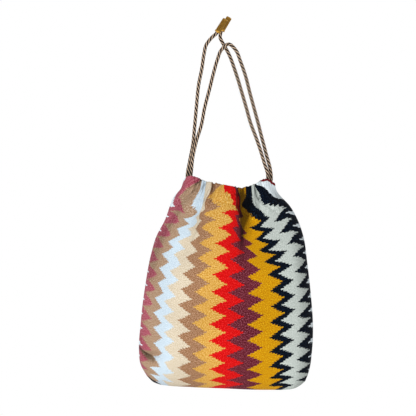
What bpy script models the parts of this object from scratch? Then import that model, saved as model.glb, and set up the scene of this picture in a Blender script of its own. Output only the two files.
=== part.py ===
"""A drawstring pouch of thick woven cloth that hangs from its own doubled cord.

Metres, +Z up. X runs across the bag and Y goes into it from its front. The origin is the
point that the cord hangs from.
"""

import math

import bpy
import numpy as np

# The pouch
BAG_WIDTH = 0.2320
BAG_HEIGHT = 0.2830
FRONT_DEPTH = 0.0520
BACK_DEPTH = 0.0420
MOUTH_WIDTH = 0.1225
MOUTH_SHIFT = 0.0042
MOUTH_FRONT_DEPTH = 0.0340
MOUTH_BACK_DEPTH = 0.0300
STRAP_RISE = 0.1745

# The cloth
CLOTH = 0.0024
LINING = 0.0010
LAYER_GAP = 0.0004
SEAM_GAP = 0.0003

# The cord and the channel that it runs through
CORD_DIAMETER = 0.0049
CORD_STEP = 0.0142
CHANNEL_HEIGHT = 0.0240
CHANNEL_CLEAR = CORD_DIAMETER + 0.0016
EAR_CLEAR = 2 * CORD_DIAMETER + 0.0008
CHANNEL_SLACK = 0.0130
EAR_START = 0.76
EAR_FADE = 0.16
SIDE_POWER = 6

# The brass caps on the cord's ends
CAP_CLEAR = 0.0003
CAP_WALL = 0.00105
CAP_BORE = CORD_DIAMETER + 2 * CAP_CLEAR
CAP_DIAMETER = CAP_BORE + 2 * CAP_WALL
CAP_LENGTH = 0.0210
CAP_BORE_DEPTH = 0.0125
CAP_RIM = 0.0004
CAP_EDGE = 0.0006
CAP_SIDES = 24

# Rows and columns of the cloth's grid
COLUMNS = 28
CHANNEL_ROWS = 6
SIDE_ROWS = 6
BOTTOM_ROWS = 7
COLUMN_EVENNESS = 0.25
BOTTOM_START = 0.62

# How far the bag has widened from mouth to belly, at shares of its height
LEFT_SWELL = ((0.0, 0.0), (0.05, 0.07), (0.094, 0.22), (0.21, 0.44), (0.28, 0.62), (0.36, 0.73),
              (0.52, 0.86), (0.68, 0.955), (0.82, 1.0), (0.88, 0.965), (0.941, 0.79))
RIGHT_SWELL = ((0.0, 0.0), (0.036, 0.03), (0.086, 0.15), (0.13, 0.36), (0.194, 0.56),
               (0.281, 0.73), (0.389, 0.83), (0.533, 0.935), (0.70, 1.0), (0.80, 0.985),
               (0.93, 0.875), (0.962, 0.81))
# The mouth's edge dips between the two ears: share across, share of the dip
RIM_DIP = 0.0145
RIM_DROP = ((0.0, 0.0), (0.10, 0.035), (0.22, 0.41), (0.35, 0.69), (0.45, 0.83),
            (0.68, 1.0), (0.82, 0.62), (0.90, 0.21), (1.0, 0.14))
# The bottom seam rises to its left and at both corners: share across, share of the left corner
CORNER_LIFT = 0.0180
SEAM_LIFT = ((0.0, 1.0), (0.035, 0.62), (0.07, 0.44), (0.13, 0.31), (0.27, 0.24), (0.43, 0.155),
             (0.60, 0.06), (0.78, 0.0), (0.875, 0.02), (0.94, 0.155), (0.975, 0.40), (1.0, 0.65))
CORNER_REACH = 5
FRONT_SKEW = 0.18
SWELL_POWER = 2.2
STEEPEST = 0.45
FREE_FOLD = 0.9
SEAM_FADE = 0.12

# Folds: share across at the mouth, share across where it dies out, share of the deepest fold,
# half width as a share across, share of the longest fold
FOLD_DEPTH = 0.0125
FOLD_REACH = 0.1500
FRONT_FOLDS = (
    (0.145, 0.105, 0.52, 0.045, 0.27),
    (0.235, 0.225, 0.40, 0.035, 1.00),
    (0.330, 0.340, 0.36, 0.028, 0.20),
    (0.650, 0.600, 1.00, 0.060, 0.70),
    (0.810, 0.750, 0.44, 0.036, 0.40),
)
BACK_FOLDS = (
    (0.18, 0.20, 0.48, 0.045, 0.40),
    (0.34, 0.35, 0.56, 0.045, 0.60),
    (0.50, 0.50, 0.48, 0.045, 0.47),
    (0.66, 0.65, 0.60, 0.045, 0.63),
    (0.82, 0.80, 0.48, 0.045, 0.40),
)
# The pucker in the front's lower left corner: share across, share down, share of the deepest
# fold, and its two spreads as shares across and down
CORNER_DENT = (0.075, 0.842, 0.60, 0.060, 0.018)

# The cord's route: from the rear cap down to the right ear, through the front channel, up from
# the left ear, over the hold point, down to the right ear again, through the back channel, and
# up from the left ear to the front cap
CORD_ROUTE = (
    (0.0003, 0.0070, 0.0315), (-0.0060, 0.0070, 0.0207), (-0.0078, 0.0071, 0.0130),
    (-0.0035, 0.0072, 0.0030), (0.0027, 0.0070, -0.0080), (0.0131, 0.0045, -0.0356),
    (0.0203, 0.0015, -0.0591), (0.0273, -0.0010, -0.0835), (0.0331, -0.0022, -0.1040),
    (0.0392, -0.0026, -0.1200), (0.0453, -0.0028, -0.1373), (0.0510, -0.0028, -0.1560),
    (0.0556, -0.0028, -0.1720), (0.0556, -0.0036, -0.1790), (0.0537, -0.0058, -0.1860),
    (0.0480, -0.0090, -0.1915), (0.0380, -0.0128, -0.1970), (0.0280, -0.0155, -0.2015),
    (0.0186, -0.0170, -0.2038), (0.0090, -0.0200, -0.2030), (0.0000, -0.0220, -0.2015),
    (-0.0100, -0.0225, -0.1998), (-0.0200, -0.0218, -0.1975), (-0.0290, -0.0200, -0.1948),
    (-0.0370, -0.0173, -0.1915), (-0.0440, -0.0140, -0.1893), (-0.0480, -0.0095, -0.1862),
    (-0.0483, -0.0050, -0.1810), (-0.0470, -0.0028, -0.1730), (-0.0443, -0.0028, -0.1480),
    (-0.0397, -0.0028, -0.1275), (-0.0325, -0.0026, -0.1040), (-0.0288, -0.0024, -0.0840),
    (-0.0216, -0.0015, -0.0560), (-0.0165, -0.0008, -0.0356), (-0.0115, 0.0, -0.0183),
    (-0.0060, 0.0, -0.0050), (0.0035, 0.0, 0.0025), (0.0130, 0.0, -0.0055),
    (0.0192, 0.0, -0.0203), (0.0263, 0.0010, -0.0407), (0.0315, 0.0018, -0.0610),
    (0.0376, 0.0024, -0.0835), (0.0425, 0.0028, -0.1013), (0.0475, 0.0028, -0.1208),
    (0.0541, 0.0028, -0.1457), (0.0590, 0.0028, -0.1640), (0.0602, 0.0026, -0.1740),
    (0.0596, 0.0040, -0.1820), (0.0560, 0.0072, -0.1885), (0.0490, 0.0095, -0.1925),
    (0.0400, 0.0118, -0.1968), (0.0300, 0.0145, -0.2005), (0.0205, 0.0165, -0.2025),
    (0.0090, 0.0175, -0.2018), (-0.0020, 0.0172, -0.2002), (-0.0130, 0.0162, -0.1985),
    (-0.0240, 0.0145, -0.1958), (-0.0330, 0.0122, -0.1923), (-0.0415, 0.0095, -0.1893),
    (-0.0480, 0.0070, -0.1868), (-0.0518, 0.0044, -0.1818), (-0.0516, 0.0024, -0.1730),
    (-0.0481, 0.0024, -0.1520), (-0.0443, 0.0024, -0.1320),
    (-0.0420, 0.0022, -0.1093), (-0.0395, 0.0016, -0.0813), (-0.0360, 0.0006, -0.0488),
    (-0.0323, -0.0008, -0.0307), (-0.0292, -0.0024, -0.0101), (-0.0265, -0.0036, 0.0010),
    (-0.0200, -0.0046, 0.0098), (-0.0120, -0.0050, 0.0173), (-0.0050, -0.0050, 0.0282),
)

# Base colour, roughness and metallic value
WOVEN_CLOTH = ((0.62, 0.33, 0.12, 1.0), 0.95, 0.0)
LINING_CLOTH = ((0.15, 0.006, 0.008, 1.0), 0.90, 0.0)
TWISTED_CORD = ((0.16, 0.09, 0.055, 1.0), 0.80, 0.0)
BRASS = ((0.55, 0.29, 0.06, 1.0), 0.30, 1.0)


def clear_scene():
    for item in list(bpy.data.objects):
        bpy.data.objects.remove(item, do_unlink=True)


def add_material(item, finish):
    """Give the object a material of its own, named after it."""
    colour, roughness, metallic = finish
    material = bpy.data.materials.new(item.name)
    material.use_nodes = True
    shader = material.node_tree.nodes["Principled BSDF"]
    shader.inputs["Base Color"].default_value = colour
    shader.inputs["Roughness"].default_value = roughness
    shader.inputs["Metallic"].default_value = metallic
    item.data.materials.append(material)


def smooth_curve(x, points):
    """Read a smooth curve through a few (place, value) points, as a cubic between each two."""
    places, values = np.array(points, dtype=float).T
    slopes = np.gradient(values, places)
    x = np.clip(x, places[0], places[-1])
    index = np.clip(np.searchsorted(places, x, side="right") - 1, 0, len(places) - 2)
    span = places[index + 1] - places[index]
    s = (x - places[index]) / span
    return ((1 + 2 * s) * (1 - s) ** 2 * values[index] + s ** 2 * (3 - 2 * s) * values[index + 1]
            + s * (1 - s) ** 2 * span * slopes[index] - s ** 2 * (1 - s) * span * slopes[index + 1])


def ease(x):
    x = np.clip(x, 0.0, 1.0)
    return x * x * (3 - 2 * x)


def unit(vectors):
    return vectors / np.maximum(np.linalg.norm(vectors, axis=-1, keepdims=True), 1e-12)


def cloth_grid():
    """Return the shares across and down of each point of the cloth's grid."""
    u = np.linspace(0.0, 1.0, COLUMNS + 1)
    across = (1 - COLUMN_EVENNESS) * (1 - np.cos(math.pi * u)) / 2 + COLUMN_EVENNESS * u
    channel_share = CHANNEL_HEIGHT / BAG_HEIGHT
    channel = np.linspace(0.0, channel_share, CHANNEL_ROWS + 1)
    side = channel_share + (BOTTOM_START - channel_share) * np.linspace(0, 1, SIDE_ROWS + 1)[1:]
    quarter_turn = np.linspace(0.0, math.pi / 2, BOTTOM_ROWS + 1)[1:]
    bottom = BOTTOM_START + (1 - BOTTOM_START) * np.sin(quarter_turn)
    return np.meshgrid(across, np.concatenate((channel, side, bottom)), indexing="ij")


def envelope(across, down, side):
    """Return the smooth shape that the folds' ridges lie on, for side -1, front, or 1, back."""
    centre = MOUTH_SHIFT * (1 - ease(down / BOTTOM_START))
    mouth_half = MOUTH_WIDTH / 2 - CLOTH / 2
    belly_half = BAG_WIDTH / 2 - CLOTH / 2
    left_lift, right_lift = CORNER_LIFT * SEAM_LIFT[0][1], CORNER_LIFT * SEAM_LIFT[-1][1]
    left_height = down - left_lift / BAG_HEIGHT * down ** CORNER_REACH
    right_height = down - right_lift / BAG_HEIGHT * down ** CORNER_REACH
    left = mouth_half + (belly_half - mouth_half) * smooth_curve(left_height, LEFT_SWELL)
    right = mouth_half + (belly_half - mouth_half) * smooth_curve(right_height, RIGHT_SWELL)
    from_middle = 2 * across - 1
    x = centre + (right - left) / 2 + from_middle * (right + left) / 2

    rim = RIM_DIP * smooth_curve(across, RIM_DROP)
    lift = CORNER_LIFT * smooth_curve(across, SEAM_LIFT)
    z = -STRAP_RISE - rim - down * (BAG_HEIGHT - rim) + lift * down ** CORNER_REACH

    mouth, belly = ((MOUTH_FRONT_DEPTH, FRONT_DEPTH) if side < 0
                    else (MOUTH_BACK_DEPTH, BACK_DEPTH))
    swell = mouth + (belly - mouth) * (1 - (1 - np.clip(down / BOTTOM_START, 0, 1)) ** SWELL_POWER)
    skew = 1 - FRONT_SKEW * from_middle if side < 0 else np.ones_like(from_middle)
    # Full depth inside, none at the side and bottom seams, and round where the two meet
    in_bottom = np.clip((down - BOTTOM_START) / (1 - BOTTOM_START), 0, 1)
    off_side = np.maximum(1 - from_middle ** 2, 1e-9)
    off_bottom = np.maximum(1 - in_bottom ** 2, 1e-9)
    fullness = 1 / np.sqrt(1 / off_side + 1 / off_bottom - 1)
    seam = (across <= 0) | (across >= 1) | (down >= 1)
    y = side * np.where(seam, SEAM_GAP / 2, swell * skew * fullness)
    return np.stack((x, y, z), axis=-1)


def inward(surface, side, seam):
    """Return the unit normals that point into the bag, level with the seam's plane on a seam."""
    normals = np.cross(np.gradient(surface, axis=0), np.gradient(surface, axis=1))
    normals *= -side * np.sign(normals[..., 1].mean())
    normals[seam, 1] = 0.0
    return unit(normals)


def push_direction(ridges, side, seam):
    """Return the directions that folds and walls are set off along, evened out at the corners."""
    push = inward(ridges, side, seam)
    for last, near in ((0, 1), (-1, -2)):
        push[last, -2] = unit(push[last, -3] + push[near, -1])
        push[last, -1] = unit(push[last, -2] + push[near, -1])
    evened = push.copy()
    evened[1:-1, 1:-1] = (push[:-2, 1:-1] + push[2:, 1:-1] + push[1:-1, :-2] + push[1:-1, 2:])
    return unit(evened)


def fold_depth(across, down, side):
    """Return how far the folds push the cloth in, from the ridges' envelope."""
    depth = np.zeros_like(across)
    for start, end, share, half_width, length in (FRONT_FOLDS if side < 0 else BACK_FOLDS):
        fold, reach = FOLD_DEPTH * share, FOLD_REACH * length
        along = np.clip(down * BAG_HEIGHT / reach, 0, 1)
        middle = start + (end - start) * along
        # Below the channel's stitches the cloth is free to fold deeper
        free = np.clip((down * BAG_HEIGHT - CHANNEL_HEIGHT) / (reach - CHANNEL_HEIGHT), 0, 1)
        depth += (fold * (1 - ease(along)) * (1 + FREE_FOLD * np.sin(math.pi * free))
                  * np.exp(-((across - middle) / half_width) ** 2))
    if side < 0:
        place, height, share, wide, high = CORNER_DENT
        depth += (FOLD_DEPTH * share
                  * np.exp(-((across - place) / wide) ** 2 - ((down - height) / high) ** 2))
    return depth * ease((1 - np.abs(2 * across - 1)) / SEAM_FADE)


def seam_mask(shape):
    seam = np.zeros(shape, dtype=bool)
    seam[0, :] = seam[-1, :] = seam[:, -1] = True
    return seam


def thin_sheet(name, middle, push, half_wall, side, finish):
    """Make a closed sheet: its two faces lie half a wall either side of its middle."""
    outer = middle - push * half_wall[..., None]
    inner = middle + push * half_wall[..., None]
    for face in (outer, inner):
        face[seam_mask(middle.shape[:2]), 1] = side * SEAM_GAP / 2

    columns, rows = middle.shape[:2]
    index = np.arange(columns * rows).reshape(columns, rows)
    shift = columns * rows
    # Each half is cut along the diagonals that run to its own lower corner
    a, b, c, d = index[:-1, :-1], index[1:, :-1], index[1:, 1:], index[:-1, 1:]
    left, right = slice(0, columns // 2), slice(columns // 2, None)
    halves = ((a[left], b[left], d[left]), (b[left], c[left], d[left]),
              (a[right], b[right], c[right]), (a[right], c[right], d[right]))
    front = np.concatenate([np.stack([corner.ravel() for corner in half], 1) for half in halves])
    back = front[:, ::-1] + shift
    edge = np.concatenate((index[:-1, 0], index[-1, :-1], index[:0:-1, -1], index[0, :0:-1]))
    after = np.roll(edge, -1)
    wall = np.concatenate((np.stack((edge, edge + shift, after), 1),
                           np.stack((after, edge + shift, after + shift), 1)))
    faces = np.concatenate((front, back, wall))
    if side < 0:
        faces = faces[:, ::-1]

    mesh = bpy.data.meshes.new(name)
    points = np.concatenate((outer.reshape(-1, 3), inner.reshape(-1, 3)))
    mesh.from_pydata(points.tolist(), [], faces.tolist())
    mesh.update()
    mesh.shade_smooth()
    mesh.set_sharp_from_angle(angle=math.radians(50))
    item = bpy.data.objects.new(name, mesh)
    bpy.context.scene.collection.objects.link(item)
    add_material(item, finish)
    return item


def make_side(side, panel_name, lining_name):
    """Make one side of the bag: its woven panel, and the lining that leaves the cord's channel."""
    across, down = cloth_grid()
    ridges = envelope(across, down, side)
    seam = seam_mask(across.shape)
    push = push_direction(ridges, side, seam)
    folds = fold_depth(across, down, side)
    panel = ridges + push * folds[..., None]
    # A wall seen aslant takes more room along the direction that the folds push in
    slant = np.clip(np.abs((inward(panel, side, seam) * push).sum(axis=-1)), STEEPEST, 1.0)
    slant[seam] = 1.0
    thin_sheet(panel_name, panel, push, CLOTH / 2 / slant, side, WOVEN_CLOTH)

    close = folds + (CLOTH / 2 + LAYER_GAP + LINING / 2) / slant
    to_side = np.abs(2 * across - 1) ** SIDE_POWER
    open_gap = CHANNEL_CLEAR + (EAR_CLEAR - CHANNEL_CLEAR) * to_side
    channel = CHANNEL_SLACK * (1 - to_side) + CLOTH / 2 + open_gap + LINING / 2
    height = np.clip(down * BAG_HEIGHT / CHANNEL_HEIGHT, 0, 1)
    bulge = np.sqrt(np.sin(math.pi * height))
    at_ear = ease((np.abs(2 * across - 1) - EAR_START) / EAR_FADE)
    bulge = np.where(height < 0.5, bulge + (1 - bulge) * at_ear, bulge)
    offset = close + (channel - close) * bulge
    lining = ridges + push * offset[..., None]
    thin_sheet(lining_name, lining, push, LINING / 2 / slant, side, LINING_CLOTH)


def smooth_route(points, step):
    """Return points a step apart on a smooth curve through the route's points."""
    route = np.array(points)
    knots = np.concatenate(([0.0], np.cumsum(np.linalg.norm(np.diff(route, axis=0), axis=1))))
    fine = np.linspace(0.0, knots[-1], 2000)
    dense = np.stack([smooth_curve(fine, list(zip(knots, axis))) for axis in route.T], axis=1)
    length = np.concatenate(([0.0], np.cumsum(np.linalg.norm(np.diff(dense, axis=0), axis=1))))
    count = round(length[-1] / step)
    places = np.linspace(0.0, length[-1], count + 1)
    return np.stack([np.interp(places, length, axis) for axis in dense.T], axis=1)


def make_cord():
    points = smooth_route(CORD_ROUTE, CORD_STEP)
    curve = bpy.data.curves.new("drawcord", "CURVE")
    curve.dimensions = "3D"
    curve.bevel_depth = CORD_DIAMETER / 2
    curve.bevel_resolution = 2
    curve.use_fill_caps = True
    spline = curve.splines.new("POLY")
    spline.points.add(len(points) - 1)
    for spot, place in zip(spline.points, points):
        spot.co = (*place, 1.0)
    item = bpy.data.objects.new("drawcord", curve)
    bpy.context.scene.collection.objects.link(item)
    add_material(item, TWISTED_CORD)


def make_cap(name, end, beside):
    """Turn a brass cap that the cord's last stretch runs into, from beside to end."""
    end, beside = np.array(end), np.array(beside)
    axis = unit(end - beside)
    radius = CAP_DIAMETER / 2
    bore = CAP_BORE / 2
    floor = CAP_BORE_DEPTH + CAP_CLEAR
    profile = ((0.0, floor), (bore, floor), (bore, CAP_EDGE), (bore + CAP_EDGE / 2, 0.0),
               (radius + CAP_RIM - CAP_EDGE / 2, 0.0), (radius + CAP_RIM, CAP_EDGE),
               (radius + CAP_RIM, 4 * CAP_EDGE), (radius, 5 * CAP_EDGE),
               (radius, CAP_LENGTH - CAP_EDGE), (radius - CAP_EDGE, CAP_LENGTH),
               (0.0, CAP_LENGTH))
    sidewise = unit(np.cross(axis, (0.0, 1.0, 0.0)))
    other = np.cross(axis, sidewise)
    mouth = end - axis * CAP_BORE_DEPTH
    angles = np.linspace(0.0, 2 * math.pi, CAP_SIDES, endpoint=False)
    rings = [mouth + axis * height + r * (np.cos(angle) * sidewise + np.sin(angle) * other)
             for r, height in profile[1:-1] for angle in angles]
    points = [mouth + axis * profile[0][1]] + rings + [mouth + axis * profile[-1][1]]
    faces = []
    last_ring = len(profile) - 3
    for k in range(CAP_SIDES):
        after = (k + 1) % CAP_SIDES
        faces.append((0, 1 + after, 1 + k))
        for ring in range(last_ring):
            low, high = 1 + ring * CAP_SIDES, 1 + (ring + 1) * CAP_SIDES
            faces.append((low + k, low + after, high + after, high + k))
        top = 1 + last_ring * CAP_SIDES
        faces.append((top + k, top + after, len(points) - 1))
    mesh = bpy.data.meshes.new(name)
    mesh.from_pydata([tuple(point) for point in points], [], faces)
    mesh.update()
    mesh.shade_smooth()
    mesh.set_sharp_from_angle(angle=math.radians(40))
    item = bpy.data.objects.new(name, mesh)
    bpy.context.scene.collection.objects.link(item)
    add_material(item, BRASS)


def main():
    clear_scene()
    make_side(-1, "front_panel", "lining_front")
    make_side(1, "back_panel", "lining_back")
    make_cord()
    make_cap("cord_cap_rear", CORD_ROUTE[0], CORD_ROUTE[1])
    make_cap("cord_cap_front", CORD_ROUTE[-1], CORD_ROUTE[-2])


main()
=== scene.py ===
"""The looks of a drawstring pouch: furry zigzag cloth, dark red lining, twisted cord, brass caps.

Metres, +Z up. X runs across the bag and Y goes into it from its front. The origin is the point
that the cord hangs from.
"""

import math

import bpy
import numpy as np
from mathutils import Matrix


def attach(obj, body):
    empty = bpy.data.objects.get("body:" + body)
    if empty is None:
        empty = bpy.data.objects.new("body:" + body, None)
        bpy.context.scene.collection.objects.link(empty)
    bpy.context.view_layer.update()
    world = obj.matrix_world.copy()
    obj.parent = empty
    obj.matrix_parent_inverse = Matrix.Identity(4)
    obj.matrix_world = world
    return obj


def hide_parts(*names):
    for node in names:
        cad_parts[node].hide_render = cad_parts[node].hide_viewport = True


bl_info = {
    "name": "Drawstring pouch",
    "version": (1, 0, 0),
    "blender": (4, 5, 0),
    "location": "3D View > Sidebar > Pouch",
    "description": "Dresses a drawstring pouch in woven pile cloth, lining, cord and brass caps",
    "category": "Add Mesh",
}

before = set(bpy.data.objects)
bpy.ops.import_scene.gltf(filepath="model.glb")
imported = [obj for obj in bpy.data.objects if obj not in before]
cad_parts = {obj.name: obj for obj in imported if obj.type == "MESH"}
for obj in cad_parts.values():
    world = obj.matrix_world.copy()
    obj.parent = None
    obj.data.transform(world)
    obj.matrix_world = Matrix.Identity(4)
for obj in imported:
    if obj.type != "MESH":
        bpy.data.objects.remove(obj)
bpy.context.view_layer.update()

# The pouch
BAG_WIDTH = 0.2320
BAG_HEIGHT = 0.2830
FRONT_DEPTH = 0.0520
BACK_DEPTH = 0.0420
MOUTH_WIDTH = 0.1225
MOUTH_SHIFT = 0.0042
MOUTH_FRONT_DEPTH = 0.0340
MOUTH_BACK_DEPTH = 0.0300
STRAP_RISE = 0.1745

# The cloth's layers
CLOTH = 0.0024
LINING = 0.0010
LAYER_GAP = 0.0004
SEAM_GAP = 0.0003

# The cord, and the channel that it runs through, with room for one strand and at the ears for two
CORD_DIAMETER = 0.0049
CHANNEL_HEIGHT = 0.0240
CHANNEL_CLEAR = CORD_DIAMETER + 0.0016
EAR_CLEAR = 2 * CORD_DIAMETER + 0.0008
# The lining's slack in the middle of the mouth, and the power by which it shrinks to the sides
CHANNEL_SLACK = 0.0130
SIDE_POWER = 6
# At the ears the channel is open up to the rim: where that starts, and over how much it sets in,
# as shares of the half width
EAR_START = 0.76
EAR_FADE = 0.16

# The brass caps
CAP_CLEAR = 0.0003
CAP_WALL = 0.00105
CAP_BORE = CORD_DIAMETER + 2 * CAP_CLEAR
CAP_DIAMETER = CAP_BORE + 2 * CAP_WALL
CAP_LENGTH = 0.0210
CAP_BORE_DEPTH = 0.0125

# How far the bag has widened from mouth to belly, at shares of its height
BOTTOM_START = 0.62
LEFT_SWELL = ((0.0, 0.0), (0.05, 0.07), (0.094, 0.22), (0.21, 0.44), (0.28, 0.62), (0.36, 0.73),
              (0.52, 0.86), (0.68, 0.955), (0.82, 1.0), (0.88, 0.965), (0.941, 0.79))
RIGHT_SWELL = ((0.0, 0.0), (0.036, 0.03), (0.086, 0.15), (0.13, 0.36), (0.194, 0.56),
               (0.281, 0.73), (0.389, 0.83), (0.533, 0.935), (0.70, 1.0), (0.80, 0.985),
               (0.93, 0.875), (0.962, 0.81))
# The mouth's edge dips between the two ears: share across, share of the dip
RIM_DIP = 0.0145
RIM_DROP = ((0.0, 0.0), (0.10, 0.035), (0.22, 0.41), (0.35, 0.69), (0.45, 0.83),
            (0.68, 1.0), (0.82, 0.62), (0.90, 0.21), (1.0, 0.14))
# The bottom seam rises to its left and at both corners: share across, share of the left corner
CORNER_LIFT = 0.0180
SEAM_LIFT = ((0.0, 1.0), (0.035, 0.62), (0.07, 0.44), (0.13, 0.31), (0.27, 0.24), (0.43, 0.155),
             (0.60, 0.06), (0.78, 0.0), (0.875, 0.02), (0.94, 0.155), (0.975, 0.40), (1.0, 0.65))
# The lift grows down the bag by this power, and the depth by the next
CORNER_REACH = 5
SWELL_POWER = 2.2
# The front bulges more to its left, by this share
FRONT_SKEW = 0.18
# Walls thicken on a slope, but no more than on one as steep as this cosine
STEEPEST = 0.45
# How much deeper a fold grows where the cloth is free, and the share in which it dies at a seam
FREE_FOLD = 0.9
SEAM_FADE = 0.12

# Large folds: share across at the mouth, share across where it dies out, share of the deepest
# fold, half width as a share across, share of the longest fold
FOLD_DEPTH = 0.0125
FOLD_REACH = 0.1500
FRONT_FOLDS = (
    (0.145, 0.105, 0.52, 0.045, 0.27),
    (0.235, 0.225, 0.40, 0.035, 1.00),
    (0.330, 0.340, 0.36, 0.028, 0.20),
    (0.650, 0.600, 1.00, 0.060, 0.70),
    (0.810, 0.750, 0.44, 0.036, 0.40),
)
BACK_FOLDS = (
    (0.18, 0.20, 0.48, 0.045, 0.40),
    (0.34, 0.35, 0.56, 0.045, 0.60),
    (0.50, 0.50, 0.48, 0.045, 0.47),
    (0.66, 0.65, 0.60, 0.045, 0.63),
    (0.82, 0.80, 0.48, 0.045, 0.40),
)
# The dent at the lower left corner: shares across and down, share of the deepest fold, half widths
CORNER_DENT = (0.075, 0.842, 0.60, 0.060, 0.018)

# Small gathers under the mouth: path as (share down, share across), depth, half width, reach
# down; a depth under zero is a ridge
FRONT_GATHERS = (
    (((0, 0.178), (0.02, 0.135), (0.045, 0.090), (0.075, 0.055)), 0.0028, 0.011, 0.10),
    (((0, 0.110), (0.06, 0.050)), -0.0018, 0.045, 0.10),
    (((0, 0.240), (0.13, 0.250), (0.226, 0.262), (0.30, 0.240), (0.38, 0.225)),
     -0.0016, 0.011, 0.44),
    (((0, 0.265), (0.13, 0.275), (0.226, 0.290), (0.30, 0.270), (0.38, 0.255)),
     0.0014, 0.016, 0.36),
    (((0.025, 0.168), (0.055, 0.135), (0.09, 0.090)), 0.0013, 0.0065, 0.12),
    (((0.04, 0.185), (0.075, 0.150), (0.12, 0.105)), 0.0010, 0.0060, 0.13),
    (((0, 0.312), (0.10, 0.322)), 0.0020, 0.014, 0.11),
    (((0, 0.365), (0.10, 0.360)), -0.0012, 0.016, 0.10),
    (((0, 0.418), (0.10, 0.412)), 0.0018, 0.014, 0.09),
    (((0, 0.590), (0.10, 0.595), (0.20, 0.585), (0.30, 0.575)), 0.0024, 0.016, 0.34),
    (((0, 0.630), (0.10, 0.632)), -0.0014, 0.014, 0.09),
    (((0, 0.672), (0.10, 0.655)), 0.0016, 0.013, 0.11),
    (((0, 0.732), (0.10, 0.735), (0.18, 0.760)), 0.0018, 0.014, 0.17),
    (((0, 0.786), (0.06, 0.805), (0.13, 0.850), (0.18, 0.890)), 0.0018, 0.016, 0.20),
    (((0, 0.860), (0.05, 0.880), (0.10, 0.930)), 0.0014, 0.018, 0.13),
)
BACK_GATHERS = (
    (((0, 0.12), (0.10, 0.09)), 0.0018, 0.018, 0.12),
    (((0, 0.26), (0.15, 0.25)), 0.0020, 0.016, 0.16),
    (((0, 0.42), (0.12, 0.42)), 0.0018, 0.016, 0.13),
    (((0, 0.58), (0.12, 0.58)), 0.0020, 0.016, 0.15),
    (((0, 0.74), (0.12, 0.75)), 0.0018, 0.016, 0.13),
    (((0, 0.89), (0.10, 0.92)), 0.0016, 0.018, 0.12),
)
# Creases at the front's lower left corner: path as (share across, share down), depth, half width
CORNER_CREASES = (
    (((0, 0.822), (0.015, 0.837), (0.03, 0.849), (0.05, 0.859), (0.08, 0.868), (0.12, 0.878)),
     0.0062, 0.0105),
    (((0, 0.785), (0.08, 0.830)), -0.0020, 0.016),
    (((0, 0.880), (0.08, 0.915)), -0.0020, 0.018),
)
# A crease ends at this share across, and starts to fade at this share of the way there
CORNER_CREASE_END = 0.110
CORNER_CREASE_HOLD = 0.55
# A gather starts to fade at this share of its reach, and all fine relief near a seam
GATHER_HOLD = 0.25
FINE_SEAM_FADE = 0.05

# The channel's stitches sit in a groove, and the cloth puckers above it, sags and creases: metres
GROOVE_DEPTH, GROOVE_HALF_WIDTH = 0.0008, 0.0016
PUCKER_DEPTH, PUCKER_REACH = 0.00055, 0.055
SAG_DEPTH, SAG_ONSET = 0.0006, 0.2
CREASE_DEPTH, CREASE_START, CREASE_FADE = 0.0010, 0.014, 0.030
CREASE_WIDTH = 0.26
# How fast those ripples run across and down the cloth, and the seed of their chance directions
PUCKER_RATE = (105, 22, 3)
SAG_RATE = (17, 21, 8)
CREASE_RATE = (150, 34, 21)
# Each is a sum of five sines, which seldom passes this
RIPPLE_SINES = 5
RIPPLE_PEAK = 3.2

# The painted shade in the folds: a fold or gather of such a depth is painted dark, less a share
# that stays light
FOLD_SHADE_FROM, FOLD_SHADE_SPAN = 0.45, 1.1
FOLD_SHADE_END, FOLD_SHADE_FADE = 0.65, 0.1
GATHER_SHADE_DEPTH, GATHER_SHADE_MOST = 0.0040, 0.6
CREASE_SHADE = 0.45
# The crease's own painted shade: half width as a share down, and how dark it is along the way
# across
CORNER_SHADE = (0.0120, ((0.0, 0.80), (0.012, 0.90), (0.03, 0.85), (0.05, 0.55), (0.075, 0.30),
                         (0.10, 0.08), (0.12, 0.0), (0.5, 0.0), (1.0, 0.0)))
# Under the crease the cloth folds in and its bands shift: metres, share across and half width,
# share down over which the shift sets in
CORNER_SHIFT = (0.0085, 0.075, 0.085, 0.018)
# The deepest painted shade, right of the large fold, down the front: share across, half width,
# strength
DEEP_SHADE = (((0.0, 0.632), (0.03, 0.652), (0.06, 0.675), (0.09, 0.676), (0.12, 0.655),
               (0.16, 0.606), (0.20, 0.580), (0.25, 0.578), (0.30, 0.580)),
              ((0.0, 0.026), (0.03, 0.044), (0.07, 0.060), (0.10, 0.058), (0.14, 0.038),
               (0.18, 0.026), (0.30, 0.022)),
              ((0.0, 0.20), (0.02, 0.60), (0.04, 1.00), (0.12, 1.00), (0.20, 0.85), (0.27, 0.55),
               (0.36, 0.25), (0.46, 0.0), (0.70, 0.0), (1.0, 0.0)))
# The painted shade where the left side turns away, down the front: share across, half width,
# strength
SIDE_SHADE = (((0.0, 0.110), (0.10, 0.095), (0.145, 0.084), (0.205, 0.060), (0.265, 0.046),
               (0.32, 0.034), (0.39, 0.028), (0.53, 0.030), (1.0, 0.030)),
              ((0.0, 0.070), (0.08, 0.045), (0.14, 0.034), (0.30, 0.030), (1.0, 0.030)),
              ((0.0, 0.03), (0.08, 0.06), (0.14, 0.28), (0.20, 0.38), (0.36, 0.38), (0.44, 0.26),
               (0.52, 0.08), (0.60, 0.0), (1.0, 0.0)))
# Painted shade where the right edge turns from the light: share across where it starts, how far
# it takes, strength, and share down over which it sets in
EDGE_SHADE = (0.895, 0.085, 0.42, 0.10)
# Where the seam's dark tape shows at the lower left corner: shares across, how slowly its ends
# come in, and its upper edge
TAPE_FROM, TAPE_TO = 0.016, 0.086
TAPE_END_SLOPE = 0.2
TAPE_EDGE = ((0.0, 0.958), (0.025, 0.972), (0.05, 0.979), (0.075, 0.991), (0.10, 0.996),
             (1.0, 0.996))

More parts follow.
